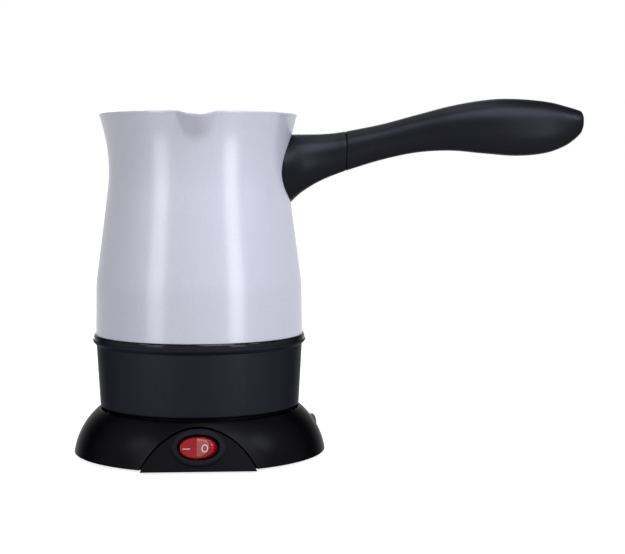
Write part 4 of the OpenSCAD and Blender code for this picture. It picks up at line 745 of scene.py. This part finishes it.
# ---- floor, world and lamps, in metres ----
def seen_white(tree, rays):
    """1 for rays that show the background: straight to the camera, mirrored or through glass."""
    output = rays.outputs["Is Camera Ray"]
    for kind in ("Is Glossy Ray", "Is Transmission Ray"):
        either = tree.nodes.new("ShaderNodeMath")
        either.operation = "MAXIMUM"
        tree.links.new(output, either.inputs[0])
        tree.links.new(rays.outputs[kind], either.inputs[1])
        output = either.outputs[0]
    return output


def make_floor(half=6, near=0.15, far=0.9, near_glow=0.82, far_glow=0.95):
    """A pale floor, whose glow for the camera rises with the distance from the object."""
    mesh = bpy.data.meshes.new("floor")
    corners = [(-half, -half, 0), (half, -half, 0), (half, half, 0), (-half, half, 0)]
    mesh.from_pydata(corners, [], [(0, 1, 2, 3)])
    material = shader("floor_white", Base_Color=(0.3, 0.3, 0.304, 1), Roughness=0.7,
                      Specular_IOR_Level=0.2, Emission_Color=(1, 1, 1, 1))
    rays = add(material, "ShaderNodeLightPath")
    place_in = add(material, "ShaderNodeTexCoord")
    reach = add(material, "ShaderNodeVectorMath", operation="LENGTH")
    link(material, place_in.outputs["Object"], reach.inputs[0])
    glow = spread(material, reach.outputs["Value"], near_glow, far_glow, near, far)
    share = add(material, "ShaderNodeMath", operation="MULTIPLY")
    link(material, seen_white(material.node_tree, rays), share.inputs[0])
    link(material, glow, share.inputs[1])
    link(material, share.outputs[0], socket(material, "Emission Strength"))
    mesh.materials.append(material)
    floor = bpy.data.objects.new("floor", mesh)
    bpy.context.scene.collection.objects.link(floor)


def make_world(fill=0.04):
    """White for the rays that show the background, and a dim fill for the rest."""
    world = bpy.data.worlds.new("studio")
    bpy.context.scene.world = world
    world.use_nodes = True
    tree = world.node_tree
    tree.nodes.clear()
    rays, mix = tree.nodes.new("ShaderNodeLightPath"), tree.nodes.new("ShaderNodeMixShader")
    for at, colour, strength in ((1, (0.95, 0.97, 1.0, 1), fill), (2, (1, 1, 1, 1), 1.0)):
        shade = tree.nodes.new("ShaderNodeBackground")
        shade.inputs["Color"].default_value = colour
        shade.inputs["Strength"].default_value = strength
        tree.links.new(shade.outputs[0], mix.inputs[at])
    out = tree.nodes.new("ShaderNodeOutputWorld")
    tree.links.new(seen_white(tree, rays), mix.inputs[0])
    tree.links.new(mix.outputs[0], out.inputs["Surface"])


def soft_box(name, azimuth, distance, height, width, tall, radiance,
             colour=(1, 1, 1), aim=(0, 0, 0.1)):
    """A rectangular lamp, at an azimuth to the right of the camera's side."""
    data = bpy.data.lights.new(name, "AREA")
    data.shape = "RECTANGLE"
    data.size, data.size_y = width, tall
    data.energy = radiance * math.pi * width * tall
    data.color = colour
    lamp = bpy.data.objects.new(name, data)
    a = math.radians(azimuth)
    lamp.location = (math.sin(a) * distance, -math.cos(a) * distance, height)
    lamp.rotation_euler = (Vector(aim) - lamp.location).to_track_quat("-Z", "Y").to_euler()
    bpy.context.scene.collection.objects.link(lamp)


# Each strip is three lamps one above the other, whose edges are at these heights.
STRIP_LEVELS, STRIP_DISTANCE = (0.003, 0.12, 0.155, 0.325), 0.5
# Side, azimuth, width, and the radiance of the three lamps from the lowest up.
STRIPS = (("left", -45.5, 0.155, (2.5, 2.95, 2.85)), ("right", 40, 0.14, (3.75, 4.15, 3.5)))
PLAIN, COOL, PALE_BLUE = (1, 1, 1), (0.97, 0.98, 1), (0.86, 0.92, 1)
MIDDLE, FOOT, FRONT_FOOT = (0, 0, 0.1), (0, -0.05, 0.01), (0, -0.06, 0.012)
LAMPS = (
    # name, azimuth, distance, height, width, tall, radiance, colour, aim
    ("key", 25, 0.75, 0.85, 0.6, 0.6, 6.8, COOL, MIDDLE),
    ("small_left", -43.5, 0.46, 0.31, 0.09, 0.13, 5, PLAIN, FRONT_FOOT),
    ("upper_left", -65, 0.5, 0.38, 0.05, 0.2, 13, PLAIN, FOOT),
    ("upper_right", 65, 0.5, 0.38, 0.06, 0.2, 19, PALE_BLUE, FOOT),
    ("overhead", 100, 0.1, 1.3, 0.9, 0.3, 4, PLAIN, MIDDLE),
    ("back", 180, 0.7, 1.1, 0.7, 0.3, 6, PLAIN, MIDDLE),
    ("back_low", 185, 1.1, 0.55, 0.9, 0.6, 2.2, PLAIN, MIDDLE),
)

make_floor()
make_world()
for side, azimuth, width, radiances in STRIPS:
    for part, radiance in enumerate(radiances):
        low, high = STRIP_LEVELS[part:part + 2]
        middle = (low + high) / 2
        soft_box(f"strip_{side}_{part}", azimuth, STRIP_DISTANCE, middle, width, high - low,
                 radiance, PLAIN, (0, 0, middle))
for lamp in LAMPS:
    soft_box(*lamp)

bpy.context.scene.view_settings.view_transform = "Standard"
